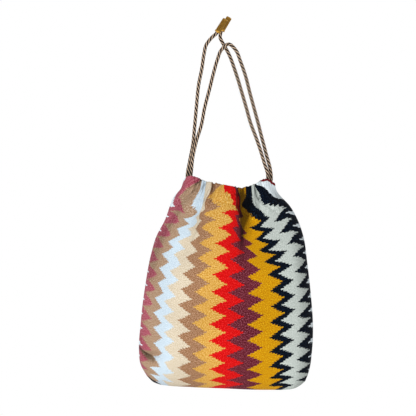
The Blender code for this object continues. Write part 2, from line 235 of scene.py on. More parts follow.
# The ears' edges round off towards the seams: share across, drop in metres. It fades down the bag
EAR_SLOPE = ((0.0, 0.0052), (0.012, 0.0024), (0.03, 0.0007), (0.05, 0.0), (0.08, 0.0),
             (0.50, 0.0), (0.80, 0.0), (0.84, 0.0), (0.86, 0.0), (0.90, 0.0010), (0.93, 0.0022),
             (0.97, 0.0050), (1.0, 0.0072))
EAR_SLOPE_REACH = 0.03
# How far the lining's facing shows over that edge: share across, metres. The rim shows it where
# it comes further than the least reach, and inside the sign alone says whether it shows
FACING = ((0.0, -0.001), (0.50, -0.001), (0.84, -0.001), (0.855, 0.0), (0.87, 0.0014),
          (0.92, 0.0016), (0.95, 0.0026), (0.98, 0.0034), (1.0, 0.0034))
LEAST_REACH = 1e-5
INSIDE_SIGN = 0.001

# Where the woven bands change colour, across the cloth, from the left one's inner edge
EDGE_PLACES = (-0.0195, 0.0, 0.0260, 0.0520, 0.0805, 0.1058, 0.1294, 0.1527, 0.1794, 0.2108,
               0.2284, 0.2524, 0.2703)
# Where those edges show across the bag, as thousandths of its width there, at shares of its
# height, and how far left of them the zigzags stand: near the mouth they go by their left tips
EDGE_HEIGHTS = (0.0, 0.04, 0.075, 0.115, 0.15, 0.20, 0.25, 0.30, 0.36, 0.47, 0.72)
EDGE_PHASE = (0.01015, 0.01015, 0.01015, 0.01015, 0.0, 0.0, 0.0, 0.0, 0.0, 0.0, 0.0)
EDGE_SHARES = (
    (22, 164, 191, 236, 302, 410, 433, 547, 609, 692, 742, 796, 810),
    (-12, 89, 188, 237, 299, 327, 441, 624, 637, 685, 742, 818, 884),
    (4, 53, 185, 252, 283, 293, 437, 619, 632, 645, 741, 818, 917),
    (-10, 43, 176, 252, 266, 301, 435, 589, 614, 638, 751, 817, 968),
    (-30, 85, 202, 235, 249, 312, 477, 546, 585, 684, 766, 867, 1008),
    (-48, 73, 162, 217, 240, 310, 461, 534, 586, 682, 761, 881, 1010),
    (-55, 71, 136, 199, 250, 322, 447, 534, 614, 697, 767, 902, 1018),
    (-52, 51, 116, 174, 256, 333, 443, 551, 643, 715, 796, 932, 1020),
    (-40, 25, 100, 170, 252, 338, 442, 550, 653, 755, 840, 955, 1007),
    (-22, 41, 97, 160, 249, 343, 443, 546, 667, 786, 859, 953, 1005),
    (-6, 50, 116, 171, 257, 348, 441, 546, 664, 777, 845, 937, 1001),
)
# Below the belly the bands hang straight down, so they keep their places across
STRAIGHT_FROM = 0.47
STRAIGHT_TO = 0.71
# Depth below the hold point at which the middle band's zigzags point left, and their number
ZIGZAG_MARKS = ((0.1766, -2.1), (0.1955, -1), (0.2133, -0.5), (0.2219, 0), (0.2413, 1),
                (0.2620, 2), (0.2825, 3), (0.3043, 4), (0.3257, 5), (0.3472, 6), (0.3690, 7),
                (0.3903, 8), (0.4101, 9), (0.4285, 10), (0.4430, 11), (0.4548, 12.1),
                (0.4758, 13.9), (0.5004, 16.0))
# How many millimetres above the middle ones the woven rows lie, at shares across and at depths:
# they rise towards both sides, and hang lower beside the left crease and right of the deep fold
ROW_PLACES = (0.0, 0.08, 0.16, 0.26, 0.40, 0.52, 0.60, 0.68, 0.76, 0.86, 0.94, 1.0)
ROW_DEPTHS = (0.200, 0.222, 0.245, 0.270, 0.300, 0.335, 0.372, 0.405, 0.440)
ROW_RISE = (
    (-2.0, -10.3, -17.7, -11.0, -2.8, 1.5, -1.7, -20.1, -22.5, -15.4, -10.8, -7.2),
    (3.0, -1.3, -13.4, -3.9, -0.3, -1.8, -8.6, -21.9, -19.7, -10.1, -1.2, -2.2),
    (6.3, -0.9, -2.6, -0.4, -1.3, -2.5, -17.0, -20.3, -14.7, -7.0, 2.6, 2.9),
    (12.2, 4.3, 4.3, 0.2, 0.2, -1.0, -3.3, -9.9, -9.5, -3.0, 4.3, 6.5),
    (15.4, 9.1, 4.6, 1.1, 0.5, -1.8, -2.3, -2.7, 0.2, 1.9, 5.7, 11.0),
    (21.2, 12.3, 6.1, 1.9, -0.1, -0.9, -1.5, -0.8, 0.4, 4.0, 8.9, 16.2),
    (25.4, 16.2, 9.8, 4.0, 0.7, 0.3, 0.2, 1.1, 3.7, 7.8, 13.6, 20.1),
    (24.5, 16.3, 10.4, 4.7, 1.1, 0.4, 0.2, 0.9, 5.0, 10.2, 13.0, 16.8),
    (25.1, 14.6, 4.0, -0.1, 0.6, 0.0, 0.3, 0.5, 2.5, 7.9, 9.9, 11.6),
)

# The span that the cloth's UV map covers, as places across and numbers of zigzags
WEFT_START, WEFT_SPAN = -0.060, 0.380
ZIGZAG_START, ZIGZAG_SPAN = -4.0, 22.0

# The cord's route, which the model's own cord follows too
CORD_ROUTE = (
    (0.0003, 0.0070, 0.0315), (-0.0060, 0.0070, 0.0207), (-0.0078, 0.0071, 0.0130),
    (-0.0035, 0.0072, 0.0030), (0.0027, 0.0070, -0.0080), (0.0131, 0.0045, -0.0356),
    (0.0203, 0.0015, -0.0591), (0.0273, -0.0010, -0.0835), (0.0331, -0.0022, -0.1040),
    (0.0392, -0.0026, -0.1200), (0.0453, -0.0028, -0.1373), (0.0510, -0.0028, -0.1560),
    (0.0556, -0.0028, -0.1720), (0.0556, -0.0036, -0.1790), (0.0537, -0.0058, -0.1860),
    (0.0480, -0.0090, -0.1915), (0.0380, -0.0128, -0.1970), (0.0280, -0.0155, -0.2015),
    (0.0186, -0.0170, -0.2038), (0.0090, -0.0200, -0.2030), (0.0000, -0.0220, -0.2015),
    (-0.0100, -0.0225, -0.1998), (-0.0200, -0.0218, -0.1975), (-0.0290, -0.0200, -0.1948),
    (-0.0370, -0.0173, -0.1915), (-0.0440, -0.0140, -0.1893), (-0.0480, -0.0095, -0.1862),
    (-0.0483, -0.0050, -0.1810), (-0.0470, -0.0028, -0.1730), (-0.0443, -0.0028, -0.1480),
    (-0.0397, -0.0028, -0.1275), (-0.0325, -0.0026, -0.1040), (-0.0288, -0.0024, -0.0840),
    (-0.0216, -0.0015, -0.0560), (-0.0165, -0.0008, -0.0356), (-0.0115, 0.0, -0.0183),
    (-0.0060, 0.0, -0.0050), (0.0035, 0.0, 0.0025), (0.0130, 0.0, -0.0055),
    (0.0192, 0.0, -0.0203), (0.0263, 0.0010, -0.0407), (0.0315, 0.0018, -0.0610),
    (0.0376, 0.0024, -0.0835), (0.0425, 0.0028, -0.1013), (0.0475, 0.0028, -0.1208),
    (0.0541, 0.0028, -0.1457), (0.0590, 0.0028, -0.1640), (0.0602, 0.0026, -0.1740),
    (0.0596, 0.0040, -0.1820), (0.0560, 0.0072, -0.1885), (0.0490, 0.0095, -0.1925),
    (0.0400, 0.0118, -0.1968), (0.0300, 0.0145, -0.2005), (0.0205, 0.0165, -0.2025),
    (0.0090, 0.0175, -0.2018), (-0.0020, 0.0172, -0.2002), (-0.0130, 0.0162, -0.1985),
    (-0.0240, 0.0145, -0.1958), (-0.0330, 0.0122, -0.1923), (-0.0415, 0.0095, -0.1893),
    (-0.0480, 0.0070, -0.1868), (-0.0518, 0.0044, -0.1818), (-0.0516, 0.0024, -0.1730),
    (-0.0481, 0.0024, -0.1520), (-0.0443, 0.0024, -0.1320),
    (-0.0420, 0.0022, -0.1093), (-0.0395, 0.0016, -0.0813), (-0.0360, 0.0006, -0.0488),
    (-0.0323, -0.0008, -0.0307), (-0.0292, -0.0024, -0.0101), (-0.0265, -0.0036, 0.0010),
    (-0.0200, -0.0046, 0.0098), (-0.0120, -0.0050, 0.0173), (-0.0050, -0.0050, 0.0282),
)

# A woven side's grid and a lining's: columns, then rows in the channel, down the side and in the
# bottom. A rim's half circle has this many more rows. The columns lie closer at the sides, but
# for this share of their spacing
SIDE_GRID = (240, 30, 76, 62)
LINING_GRID = (120, 24, 44, 32)
ROUND_ROWS = 4
EVEN_SHARE = 0.4
# Where the bake's map lays out a sheet: across, then down its outer face, its inner face and its
# rim, and the two strips that close its side edges
BAKE_ACROSS = (0.02, 0.98)
BAKE_OUTER = (0.0, 0.84)
BAKE_INNER = (0.85, 0.98)
BAKE_RIM = (0.983, 1.0)
BAKE_STRIPS = (0.001, 0.985)
BAKE_STRIP_WIDTH = 0.014

# The cord's mesh: metres between its rings, points along its route before they are spaced out,
# and points round each ply
ROPE_STEP = 0.0010
FINE_POINTS = 2000
PLY_POINTS = 6
# How deep a cap's flutes are, and points round each
FLUTE_DEPTH = 0.00040
FLUTE_POINTS = 6
# In the bake's map the cord is cut into strips, each with this margin of its width, up to a
# height. The caps go up to theirs and the floor starts at its own. Above or below lie the two
# rounds that close the ends: their middles and radius
ROPE_STRIPS, STRIP_MARGIN, STRIP_TOP = 16, 0.04, 0.95
ROPE_ENDS = ((0.02, 0.975), (0.06, 0.975), 0.012)
CAP_TOP = 0.94
CAP_ENDS = ((0.03, 0.97), (0.09, 0.97), 0.02)
FLOOR_BASE = 0.2
FLOOR_ENDS = ((0.1, 0.1), (0.3, 0.1), 0.05)

# The view: the photograph's middle lies this far from the hold point, its scale is metres a pixel,
# and its side is in pixels. The sensor is in millimetres
VIEW_CENTRE = (-0.024, 0.0, -0.216)
METRES_A_PIXEL = 0.001 / 0.75
PICTURE_SIDE = 416
VIEW_DISTANCE = 3.0
SENSOR_WIDTH = 36.0
VIEW_END = 20.0

# The round floor's profile: radius and height, from its middle out, with a turned down edge
FLOOR_PROFILE = ((0.01, 0.0), (0.30, 0.0), (0.60, 0.0), (0.845, 0.0), (0.85, -0.002),
                 (0.85, -0.02), (0.01, -0.02))
FLOOR_POINTS = 96
# The lights: place, diameter, and how many times the set power each has. Both aim at the bag
LIGHTS = (("key_light", (-1.20, -1.10, 0.05), 0.9, 1.1),
          ("fill_light", (-0.10, -1.15, -0.74), 0.6, 1.3))
LIGHT_AIM = (0.0, 0.0, -0.30)
# Heights in the sky, as sines, between which the light turns from the horizon's to the top's
SKY_LOW, SKY_HIGH = 0.30, 0.50


def linear(hex_colour, alpha=1.0):
    """Turn an sRGB hex colour into linear red, green, blue and alpha."""
    parts = [int(hex_colour[k:k + 2], 16) / 255 for k in (1, 3, 5)]
    return (*[p / 12.92 if p <= 0.04045 else ((p + 0.055) / 1.055) ** 2.4 for p in parts], alpha)


def colour(name, hex_colour, text):
    return bpy.props.FloatVectorProperty(name=name, description=text, size=4, subtype="COLOR",
                                         min=0.0, max=1.0, default=linear(hex_colour))


def length(name, default, text):
    return bpy.props.FloatProperty(name=name, description=text, default=default, min=0.0,
                                   unit="LENGTH", precision=5)


def share(name, default, text):
    return bpy.props.FloatProperty(name=name, description=text, default=default, min=0.0,
                                   max=1.0, subtype="FACTOR")


# Settings

class PouchCloth(bpy.types.PropertyGroup):
    """The woven pile cloth: its bands' colours and its weave."""
    swing: length("Zigzag swing", 0.0203, "How far a zigzag swings across the cloth")
    rows: bpy.props.IntProperty(name="Rows", description="Woven rows in one zigzag", default=10)
    fibre: length("Pile jitter", 0.0011, "How far single tufts stray over a band's edge")
    tuft: length("Tuft", 0.0011, "Width of one tuft of pile")
    pile: length("Pile relief", 0.0006, "Height of the relief that the tufts make")
    sheen: share("Sheen", 0.03, "Soft light that the pile's tips catch at a glance")
    pale: colour("Pale edge", "#E4EEF4", "The outermost band on the left")
    mauve: colour("Mauve", "#AB5C6A", "First band from the left")
    tan: colour("Tan", "#AB9077", "Second band")
    sky: colour("Pale blue", "#C5D3DD", "Third band")
    cream: colour("Cream", "#CFC3AE", "Fourth band")
    taupe: colour("Taupe", "#9F7A5C", "Fifth band")
    ochre: colour("Ochre", "#CCA150", "Sixth band")
    red: colour("Red", "#CA0F0F", "Seventh band")
    plum: colour("Plum", "#6D2935", "Eighth band")
    mustard: colour("Mustard", "#C59205", "Ninth band")
    navy: colour("Blue black", "#020B1A", "Tenth and twelfth bands")
    silver: colour("Pale grey", "#BEC5C0", "Eleventh band")
    white: colour("White", "#E6EFF3", "The outermost band on the right")


class PouchTrim(bpy.types.PropertyGroup):
    """The lining, the seam's tape, the cord and the caps."""
    lining: colour("Lining", "#6E0F14", "Plain lining cloth")
    binding: colour("Binding", "#241F1E", "Tape that shows at the lower left corner")
    cord_dark: colour("Cord, dark ply", "#160B05", "Dark yarn of the cord")
    cord_light: colour("Cord, light ply", "#D6B99D", "Light yarn of the cord")
    lay: length("Lay", 0.0195, "Length of cord in which a ply goes round once")
    plies: bpy.props.IntProperty(name="Plies", description="Pairs of dark and light plies",
                                 default=3)
    brass: colour("Brass", "#B98B3C", "Caps on the cord's ends")
    patina: colour("Patina", "#4A3314", "Brown that has settled in the caps' grooves")
    flutes: bpy.props.IntProperty(name="Flutes", description="Grooves round a cap", default=20)


class PouchStage(bpy.types.PropertyGroup):
    """The floor, the light and the camera."""
    floor: colour("Floor", "#F4F4F4", "Pale floor")
    floor_drop: length("Floor", 0.85, "How far the floor lies below the hold point")
    glow: share("Horizon light", 1.0, "Brightness of the sky near the horizon")
    sky: share("Top light", 0.60, "Brightness of the sky overhead")
    key: bpy.props.FloatProperty(name="Key light", description="Power of the large soft light",
                                 default=6.0, min=0.0, subtype="POWER")


# Curves, grids and meshes

def pick(numbers, index):
    """Return the numbers at a grid of places in their row, or in a row for each of the places."""
    if numbers.ndim == 1:
        return numbers[index]
    return np.take_along_axis(numbers, index[..., None], axis=-1)[..., 0]


def cubic(s, span, index, values, slopes):
    """Read the cubic from each value to the next at a share s of the span between them."""
    return ((1 + 2 * s) * (1 - s) ** 2 * pick(values, index)
            + s ** 2 * (3 - 2 * s) * pick(values, index + 1)
            + s * (1 - s) ** 2 * span * pick(slopes, index)
            - s ** 2 * (1 - s) * span * pick(slopes, index + 1))


def smooth_values(x, places, values):
    """Read smooth curves through values at a row of places, as a cubic between each two.

    The values are one row, or a row for each x.
    """
    slopes = np.gradient(values, places, axis=-1)
    x = np.clip(x, places[0], places[-1])
    index = np.clip(np.searchsorted(places, x, side="right") - 1, 0, len(places) - 2)
    span = places[index + 1] - places[index]
    return cubic((x - places[index]) / span, span, index, values, slopes)


def smooth_curve(x, points):
    """Read a smooth curve through a few (place, value) points."""
    return smooth_values(x, *np.array(points, dtype=float).T)


def smooth_rows(x, places, table):
    """Read each column of a table of rows at the row place x; the columns come last."""
    return np.stack([smooth_curve(x, list(zip(places, column))) for column in zip(*table)],
                    axis=-1)


def ease(x):
    """Rise smoothly from 0 to 1 while x does: 3 x squared less 2 x cubed."""
    x = np.clip(x, 0.0, 1.0)
    return x * x * (3 - 2 * x)


def unit(vectors):
    return vectors / np.maximum(np.linalg.norm(vectors, axis=-1, keepdims=True), 1e-12)


def ripple(a, b, seed):
    """Return an even, wandering ripple from -1 to 1: a sum of five sines in chance directions."""
    rng = np.random.default_rng(seed)
    total = np.zeros(np.broadcast(a, b).shape)
    for turn, phase in rng.uniform(0.0, 2 * math.pi, (RIPPLE_SINES, 2)):
        total += np.sin(a * math.cos(turn) + b * math.sin(turn) + phase)
    return total / RIPPLE_PEAK


def cloth_ripple(across, down, side, rate):
    """Return a ripple that runs over one side of the cloth at the rates of a table."""
    return ripple(across * rate[0], down * rate[1], rate[2] + side)


def bell(x, half_width):
    """Return a bell that is 1 at 0: e to the power of minus the square of x by its half width."""
    return np.exp(-(x / half_width) ** 2)


def off_seams(across, reach):
    """Rise smoothly from 0 on both side seams to 1 a share of the half width away."""
    return ease((1 - np.abs(2 * across - 1)) / reach)


def way_along(points):
    """Return how far along a row of points each one lies."""
    return np.concatenate(([0.0], np.cumsum(np.linalg.norm(np.diff(points, axis=0), axis=1))))


def angles_round(count):
    return np.linspace(0.0, 2 * math.pi, count, endpoint=False)


def spoke(angle, first, second):
    """Return the unit vectors at an angle from the first one towards the second one."""
    return np.cos(angle)[..., None] * first + np.sin(angle)[..., None] * second


def rings_closed(rings, around):
    """Return the point numbers of a tube's rings, and the same with each ring run round closed."""
    index = np.arange(rings * around).reshape(rings, around)
    return index, np.concatenate((index, index[:, :1]), axis=1)


def grid(rows, columns):
    """Return a grid of pairs, (row value, column value)."""
    return np.stack(np.meshgrid(rows, columns, indexing="ij"), axis=-1)


def corner_values(values):
    """Return a grid's values at the four corners of each quad between its rows and columns."""
    quads = (values[:-1, :-1], values[1:, :-1], values[1:, 1:], values[:-1, 1:])
    return np.stack([corner.reshape(-1, values.shape[-1]) for corner in quads], axis=1)


def grid_faces(index):
    """Return the quads of a grid of point numbers, in the same order."""
    return corner_values(index[..., None])[..., 0]


def build_mesh(name, points, faces, material, maps, lids=(), values=None):
    """Make a piece from points, quads and the rounds that close its ends.

    maps holds a UV for each corner of each quad, lids the point numbers of each round and the
    middle and radius that it takes in every map, and values a number for each point.
    """
    corners = points[faces]
    fans = np.cross(corners[:, 1] - corners[:, 0], corners[:, 2] - corners[:, 0])
    fans += np.cross(corners[:, 2] - corners[:, 0], corners[:, 3] - corners[:, 0])
    turn = -1 if (corners.mean(axis=1) * fans).sum() < 0 else 1
    rounds = [np.asarray(ring)[::-turn] for ring, *_ in lids]
    numbers = np.concatenate([faces[:, ::turn].ravel(), *rounds]).astype(np.int32)
    sizes = np.concatenate((np.full(len(faces), 4), [len(ring) for ring in rounds]))
    mesh = bpy.data.meshes.new(name)
    mesh.vertices.add(len(points))
    mesh.vertices.foreach_set("co", points.astype(np.float32).ravel())
    mesh.loops.add(len(numbers))
    mesh.loops.foreach_set("vertex_index", numbers)
    mesh.polygons.add(len(sizes))
    starts = (np.cumsum(sizes) - sizes).astype(np.int32)
    mesh.polygons.foreach_set("loop_start", starts)
    mesh.update(calc_edges=True)
    for label, uv in maps.items():
        parts = [uv[:, ::turn].reshape(-1, 2)]
        for ring, middle, radius in lids:
            spots = spoke(angles_round(len(ring))[::-turn], *np.eye(2)) * radius
            parts.append(spots + np.array(middle))
        layer = mesh.uv_layers.new(name=label)
        layer.uv.foreach_set("vector", np.concatenate(parts).astype(np.float32).ravel())
    for label, numbers_of in (values or {}).items():
        attribute = mesh.attributes.new(label, "FLOAT", "POINT")
        attribute.data.foreach_set("value", numbers_of.astype(np.float32).ravel())
    if mesh.validate():
        raise RuntimeError(f"{name}: the mesh has faces that aren't sound")
    mesh.shade_smooth()
    mesh.materials.append(material)
    item = bpy.data.objects.new(name, mesh)
    bpy.context.scene.collection.objects.link(item)
    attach(item, "root")
    return item


def build_tube(name, points, material, maps, ends, values=None):
    """Make a piece from rings of points, with a round at either end.

    ends holds the middles that the first and the last round take in the maps, and their radius.
    """
    first, last, radius = ends
    index, closed = rings_closed(*points.shape[:2])
    lids = ((index[0][::-1], first, radius), (index[-1], last, radius))
    return build_mesh(name, points.reshape(-1, 3), grid_faces(closed), material, maps, lids,
                      values)


# The bag's shape

def seam_mask(shape):
    seam = np.zeros(shape, dtype=bool)
    seam[0, :] = seam[-1, :] = seam[:, -1] = True
    return seam


def cloth_grid(columns, channel_rows, side_rows, bottom_rows):
    """Return the shares across and down of a grid, closer at the sides, mouth and bottom."""
    u = np.linspace(0.0, 1.0, columns + 1)
    across = (1 - EVEN_SHARE) * (1 - np.cos(math.pi * u)) / 2 + EVEN_SHARE * u
    channel_share = CHANNEL_HEIGHT / BAG_HEIGHT
    channel = np.linspace(0.0, channel_share, channel_rows + 1)
    side = channel_share + (BOTTOM_START - channel_share) * np.linspace(0, 1, side_rows + 1)[1:]
    bottom = np.sin(np.linspace(0.0, math.pi / 2, bottom_rows + 1)[1:])
    down = np.concatenate((channel, side, BOTTOM_START + (1 - BOTTOM_START) * bottom))
    return np.meshgrid(across, down, indexing="ij")


def envelope(across, down, side):
    """Return the smooth shape that the folds' ridges lie on, for side -1, front, or 1, back.

    Across, the half widths grow from mouth to belly by the swell tables. Down, the rim's dip and
    the bottom seam's lift fade into each other. The depth is an oval that closes at the sides
    and the bottom and is round where the two meet.
    """
    centre = MOUTH_SHIFT * (1 - ease(down / BOTTOM_START))
    mouth_half = MOUTH_WIDTH / 2 - CLOTH / 2
    belly_half = BAG_WIDTH / 2 - CLOTH / 2
    left_lift, right_lift = CORNER_LIFT * SEAM_LIFT[0][1], CORNER_LIFT * SEAM_LIFT[-1][1]
    left_height = down - left_lift / BAG_HEIGHT * down ** CORNER_REACH
    right_height = down - right_lift / BAG_HEIGHT * down ** CORNER_REACH
    left = mouth_half + (belly_half - mouth_half) * smooth_curve(left_height, LEFT_SWELL)
    right = mouth_half + (belly_half - mouth_half) * smooth_curve(right_height, RIGHT_SWELL)
    from_middle = 2 * across - 1
    x = centre + (right - left) / 2 + from_middle * (right + left) / 2

    rim = RIM_DIP * smooth_curve(across, RIM_DROP)
    lift = CORNER_LIFT * smooth_curve(across, SEAM_LIFT)
    slope = smooth_curve(across, EAR_SLOPE) * (1 - ease(down * BAG_HEIGHT / EAR_SLOPE_REACH))
    z = (-STRAP_RISE - rim - down * (BAG_HEIGHT - rim) + lift * down ** CORNER_REACH - slope)

    mouth, belly = ((MOUTH_FRONT_DEPTH, FRONT_DEPTH) if side < 0
                    else (MOUTH_BACK_DEPTH, BACK_DEPTH))
    swell = mouth + (belly - mouth) * (1 - (1 - np.clip(down / BOTTOM_START, 0, 1)) ** SWELL_POWER)
    skew = 1 - FRONT_SKEW * from_middle if side < 0 else np.ones_like(from_middle)
    in_bottom = np.clip((down - BOTTOM_START) / (1 - BOTTOM_START), 0, 1)
    off_side = np.maximum(1 - from_middle ** 2, 1e-9)
    off_bottom = np.maximum(1 - in_bottom ** 2, 1e-9)
    fullness = 1 / np.sqrt(1 / off_side + 1 / off_bottom - 1)
    y = side * np.where(seam_mask(across.shape), SEAM_GAP / 2, swell * skew * fullness)
    return np.stack((x, y, z), axis=-1)


def inward(surface, side, seam):
    """Return the unit normals that point into the bag, level with the seam's plane on a seam."""
    normals = np.cross(np.gradient(surface, axis=0), np.gradient(surface, axis=1))
    normals *= -side * np.sign(normals[..., 1].mean())
    normals[seam, 1] = 0.0
    return unit(normals)


def push_direction(ridges, side, seam, rounds=24):
    """Return the directions that folds and walls are set off along.

    They are the inward normals, each moved towards the mean of its four neighbours a few times.
    """
    push = inward(ridges, side, seam)
    for _ in range(rounds):
        ring = np.pad(push, ((1, 1), (1, 1), (0, 0)), mode="edge")
        push = ring[:-2, 1:-1] + ring[2:, 1:-1] + ring[1:-1, :-2] + ring[1:-1, 2:] + push
        push[seam, 1] = 0.0
        push = unit(push)
    return push


def fold_depth(across, down, side):
    """Return how far the folds push the cloth in: a bell across each fold, dying out down it."""
    depth = np.zeros_like(across)
    for start, end, part, half_width, reach in (FRONT_FOLDS if side < 0 else BACK_FOLDS):
        fold, long = FOLD_DEPTH * part, FOLD_REACH * reach
        along = np.clip(down * BAG_HEIGHT / long, 0, 1)
        middle = start + (end - start) * along
        # Below the channel's stitches the cloth is free to fold deeper
        free = np.clip((down * BAG_HEIGHT - CHANNEL_HEIGHT) / (long - CHANNEL_HEIGHT), 0, 1)
        depth += (fold * (1 - ease(along)) * (1 + FREE_FOLD * np.sin(math.pi * free))
                  * bell(across - middle, half_width))
    if side < 0:
        place, height, part, wide, high = CORNER_DENT
        depth += FOLD_DEPTH * part * bell(across - place, wide) * bell(down - height, high)
    return depth * off_seams(across, SEAM_FADE)


def gather_depth(across, down, side):
    """Return the small folds: narrow bells along their paths, and the ripples between them."""
    depth = np.zeros_like(across)
    for path, deep, half_width, reach in (FRONT_GATHERS if side < 0 else BACK_GATHERS):
        fade = 1 - ease(down / reach - GATHER_HOLD)
        depth += deep * fade * bell(across - smooth_curve(down, path), half_width)
    if side < 0:
        way = across / CORNER_CREASE_END
        fade = 1 - ease((way - CORNER_CREASE_HOLD) / (1 - CORNER_CREASE_HOLD))
        for path, deep, half_width in CORNER_CREASES:
            depth += deep * fade * bell(down - smooth_curve(across, path), half_width)
    from_rim = down * BAG_HEIGHT
    depth += GROOVE_DEPTH * bell(from_rim - CHANNEL_HEIGHT, GROOVE_HALF_WIDTH)
    near_mouth = 1 - ease(from_rim / PUCKER_REACH)
    depth += PUCKER_DEPTH * near_mouth * cloth_ripple(across, down, side, PUCKER_RATE)
    depth += SAG_DEPTH * cloth_ripple(across, down, side, SAG_RATE) * ease(down / SAG_ONSET)
    depth += CREASE_DEPTH * crease_lines(across, down, side)
    return depth * off_seams(across, FINE_SEAM_FADE)


def crease_lines(across, down, side):
    """Return the fine creases under the mouth: narrow lines where a long ripple crosses zero."""
    lines = 1 - np.abs(cloth_ripple(across, down, side, CREASE_RATE)) / CREASE_WIDTH
    near = 1 - ease((down * BAG_HEIGHT - CREASE_START) / CREASE_FADE)
    return np.clip(lines, 0.0, 1.0) * near * off_seams(across, FINE_SEAM_FADE)


def painted_shade_at(across, down, side):
    """Return the painted shade at each point, from 0, on a ridge, to 1, in the deepest fold; on
    the front it also paints shade where the sides turn away and along the corner crease.
    """
    folds = fold_depth(across, down, side) / FOLD_DEPTH
    folds *= 1 - ease((down - FOLD_SHADE_END) / FOLD_SHADE_FADE)
    gathers = gather_depth(across, down, side) / GATHER_SHADE_DEPTH
    shade = ((folds - FOLD_SHADE_FROM) / FOLD_SHADE_SPAN + np.clip(gathers, 0, GATHER_SHADE_MOST)
             + CREASE_SHADE * crease_lines(across, down, side))
    shade = np.maximum(shade, 0.0)
    if side < 0:
        # Painted shade beside the deep fold, down the left side, at the right edge and along the
        # corner crease
        for table in (DEEP_SHADE, SIDE_SHADE):
            middle, half_width, strength = (smooth_curve(down, points) for points in table)
            shade += strength * bell(across - middle, half_width)
        start, wide, dark, onset = EDGE_SHADE
        shade += dark * ease((across - start) / wide) * ease(down / onset)
        half_width, strength = CORNER_SHADE
        crease = smooth_curve(across, CORNER_CREASES[0][0])
        shade += smooth_curve(across, strength) * bell(down - crease, half_width)
    return np.clip(shade, 0.0, 1.0)


def side_surfaces(across, down, side):
    """Return one side's cloth and lining: middles, directions set off along, and half walls."""
    seam = seam_mask(across.shape)
    ridges = envelope(across, down, side)
    push = push_direction(ridges, side, seam)
    folds = fold_depth(across, down, side) + gather_depth(across, down, side)
    cloth = ridges + push * folds[..., None]
    slant = np.clip(np.abs((inward(cloth, side, seam) * push).sum(axis=-1)), STEEPEST, 1.0)
    slant[seam] = 1.0
    close = folds + (CLOTH / 2 + LAYER_GAP + LINING / 2) / slant
    to_side = np.abs(2 * across - 1) ** SIDE_POWER
    open_gap = CHANNEL_CLEAR + (EAR_CLEAR - CHANNEL_CLEAR) * to_side
    channel = CHANNEL_SLACK * (1 - to_side) + CLOTH / 2 + open_gap + LINING / 2
    height = np.clip(down * BAG_HEIGHT / CHANNEL_HEIGHT, 0, 1)
    bulge = np.sqrt(np.maximum(np.sin(math.pi * height), 0.0))
    at_ear = ease((np.abs(2 * across - 1) - EAR_START) / EAR_FADE)
    bulge = np.where(height < 0.5, bulge + (1 - bulge) * at_ear, bulge)
    lining = ridges + push * (close + (channel - close) * bulge)[..., None]
    return cloth, lining, push, CLOTH / 2 / slant, LINING / 2 / slant


def weft_place(across, down, x, side):
    """Return how far across the cloth each point lies, read from where the bands' edges show.

    The edges' shares across are blended down the bag, and the place between two edges follows a
    cubic whose slopes are the lower ones of its neighbours, so that it never turns back.
    """
    edges = smooth_rows(down, EDGE_HEIGHTS, EDGE_SHARES) / 1000
    phase = smooth_curve(down, list(zip(EDGE_HEIGHTS, EDGE_PHASE)))
    straight = ease((down - STRAIGHT_FROM) / (STRAIGHT_TO - STRAIGHT_FROM))
    at = across + (x / BAG_WIDTH + 0.5 - across) * straight
    places = np.array(EDGE_PLACES)
    gaps = np.diff(edges, axis=-1)
    rates = np.diff(places) / gaps
    inner = np.minimum(rates[..., :-1], rates[..., 1:])
    slopes = np.concatenate((rates[..., :1], inner, rates[..., -1:]), axis=-1)
    index = np.clip((at[..., None] >= edges).sum(axis=-1) - 1, 0, len(places) - 2)
    span = pick(gaps, index)
    s = (at - pick(edges, index)) / span
    place = cubic(np.clip(s, 0.0, 1.0), span, index, places, slopes)
    # Beyond the first and the last edge the cloth runs on at the end's own slope
    place += (np.minimum(s, 0.0) * span * slopes[..., 0]
              + np.maximum(s - 1.0, 0.0) * span * slopes[..., -1]) - phase
    if side < 0:
        shift, middle, wide, onset = CORNER_SHIFT
        under = ease((down - smooth_curve(across, CORNER_CREASES[0][0])) / onset)
        place += shift * under * bell(across - middle, wide)
    return place


def zigzag_number(across, z):
    """Return each point's number of zigzags down the cloth, read from its depth and rows' rise."""
    rises = smooth_rows(-z, ROW_DEPTHS, ROW_RISE) / 1000
    return smooth_curve(smooth_values(across, np.array(ROW_PLACES), rises) - z, ZIGZAG_MARKS)


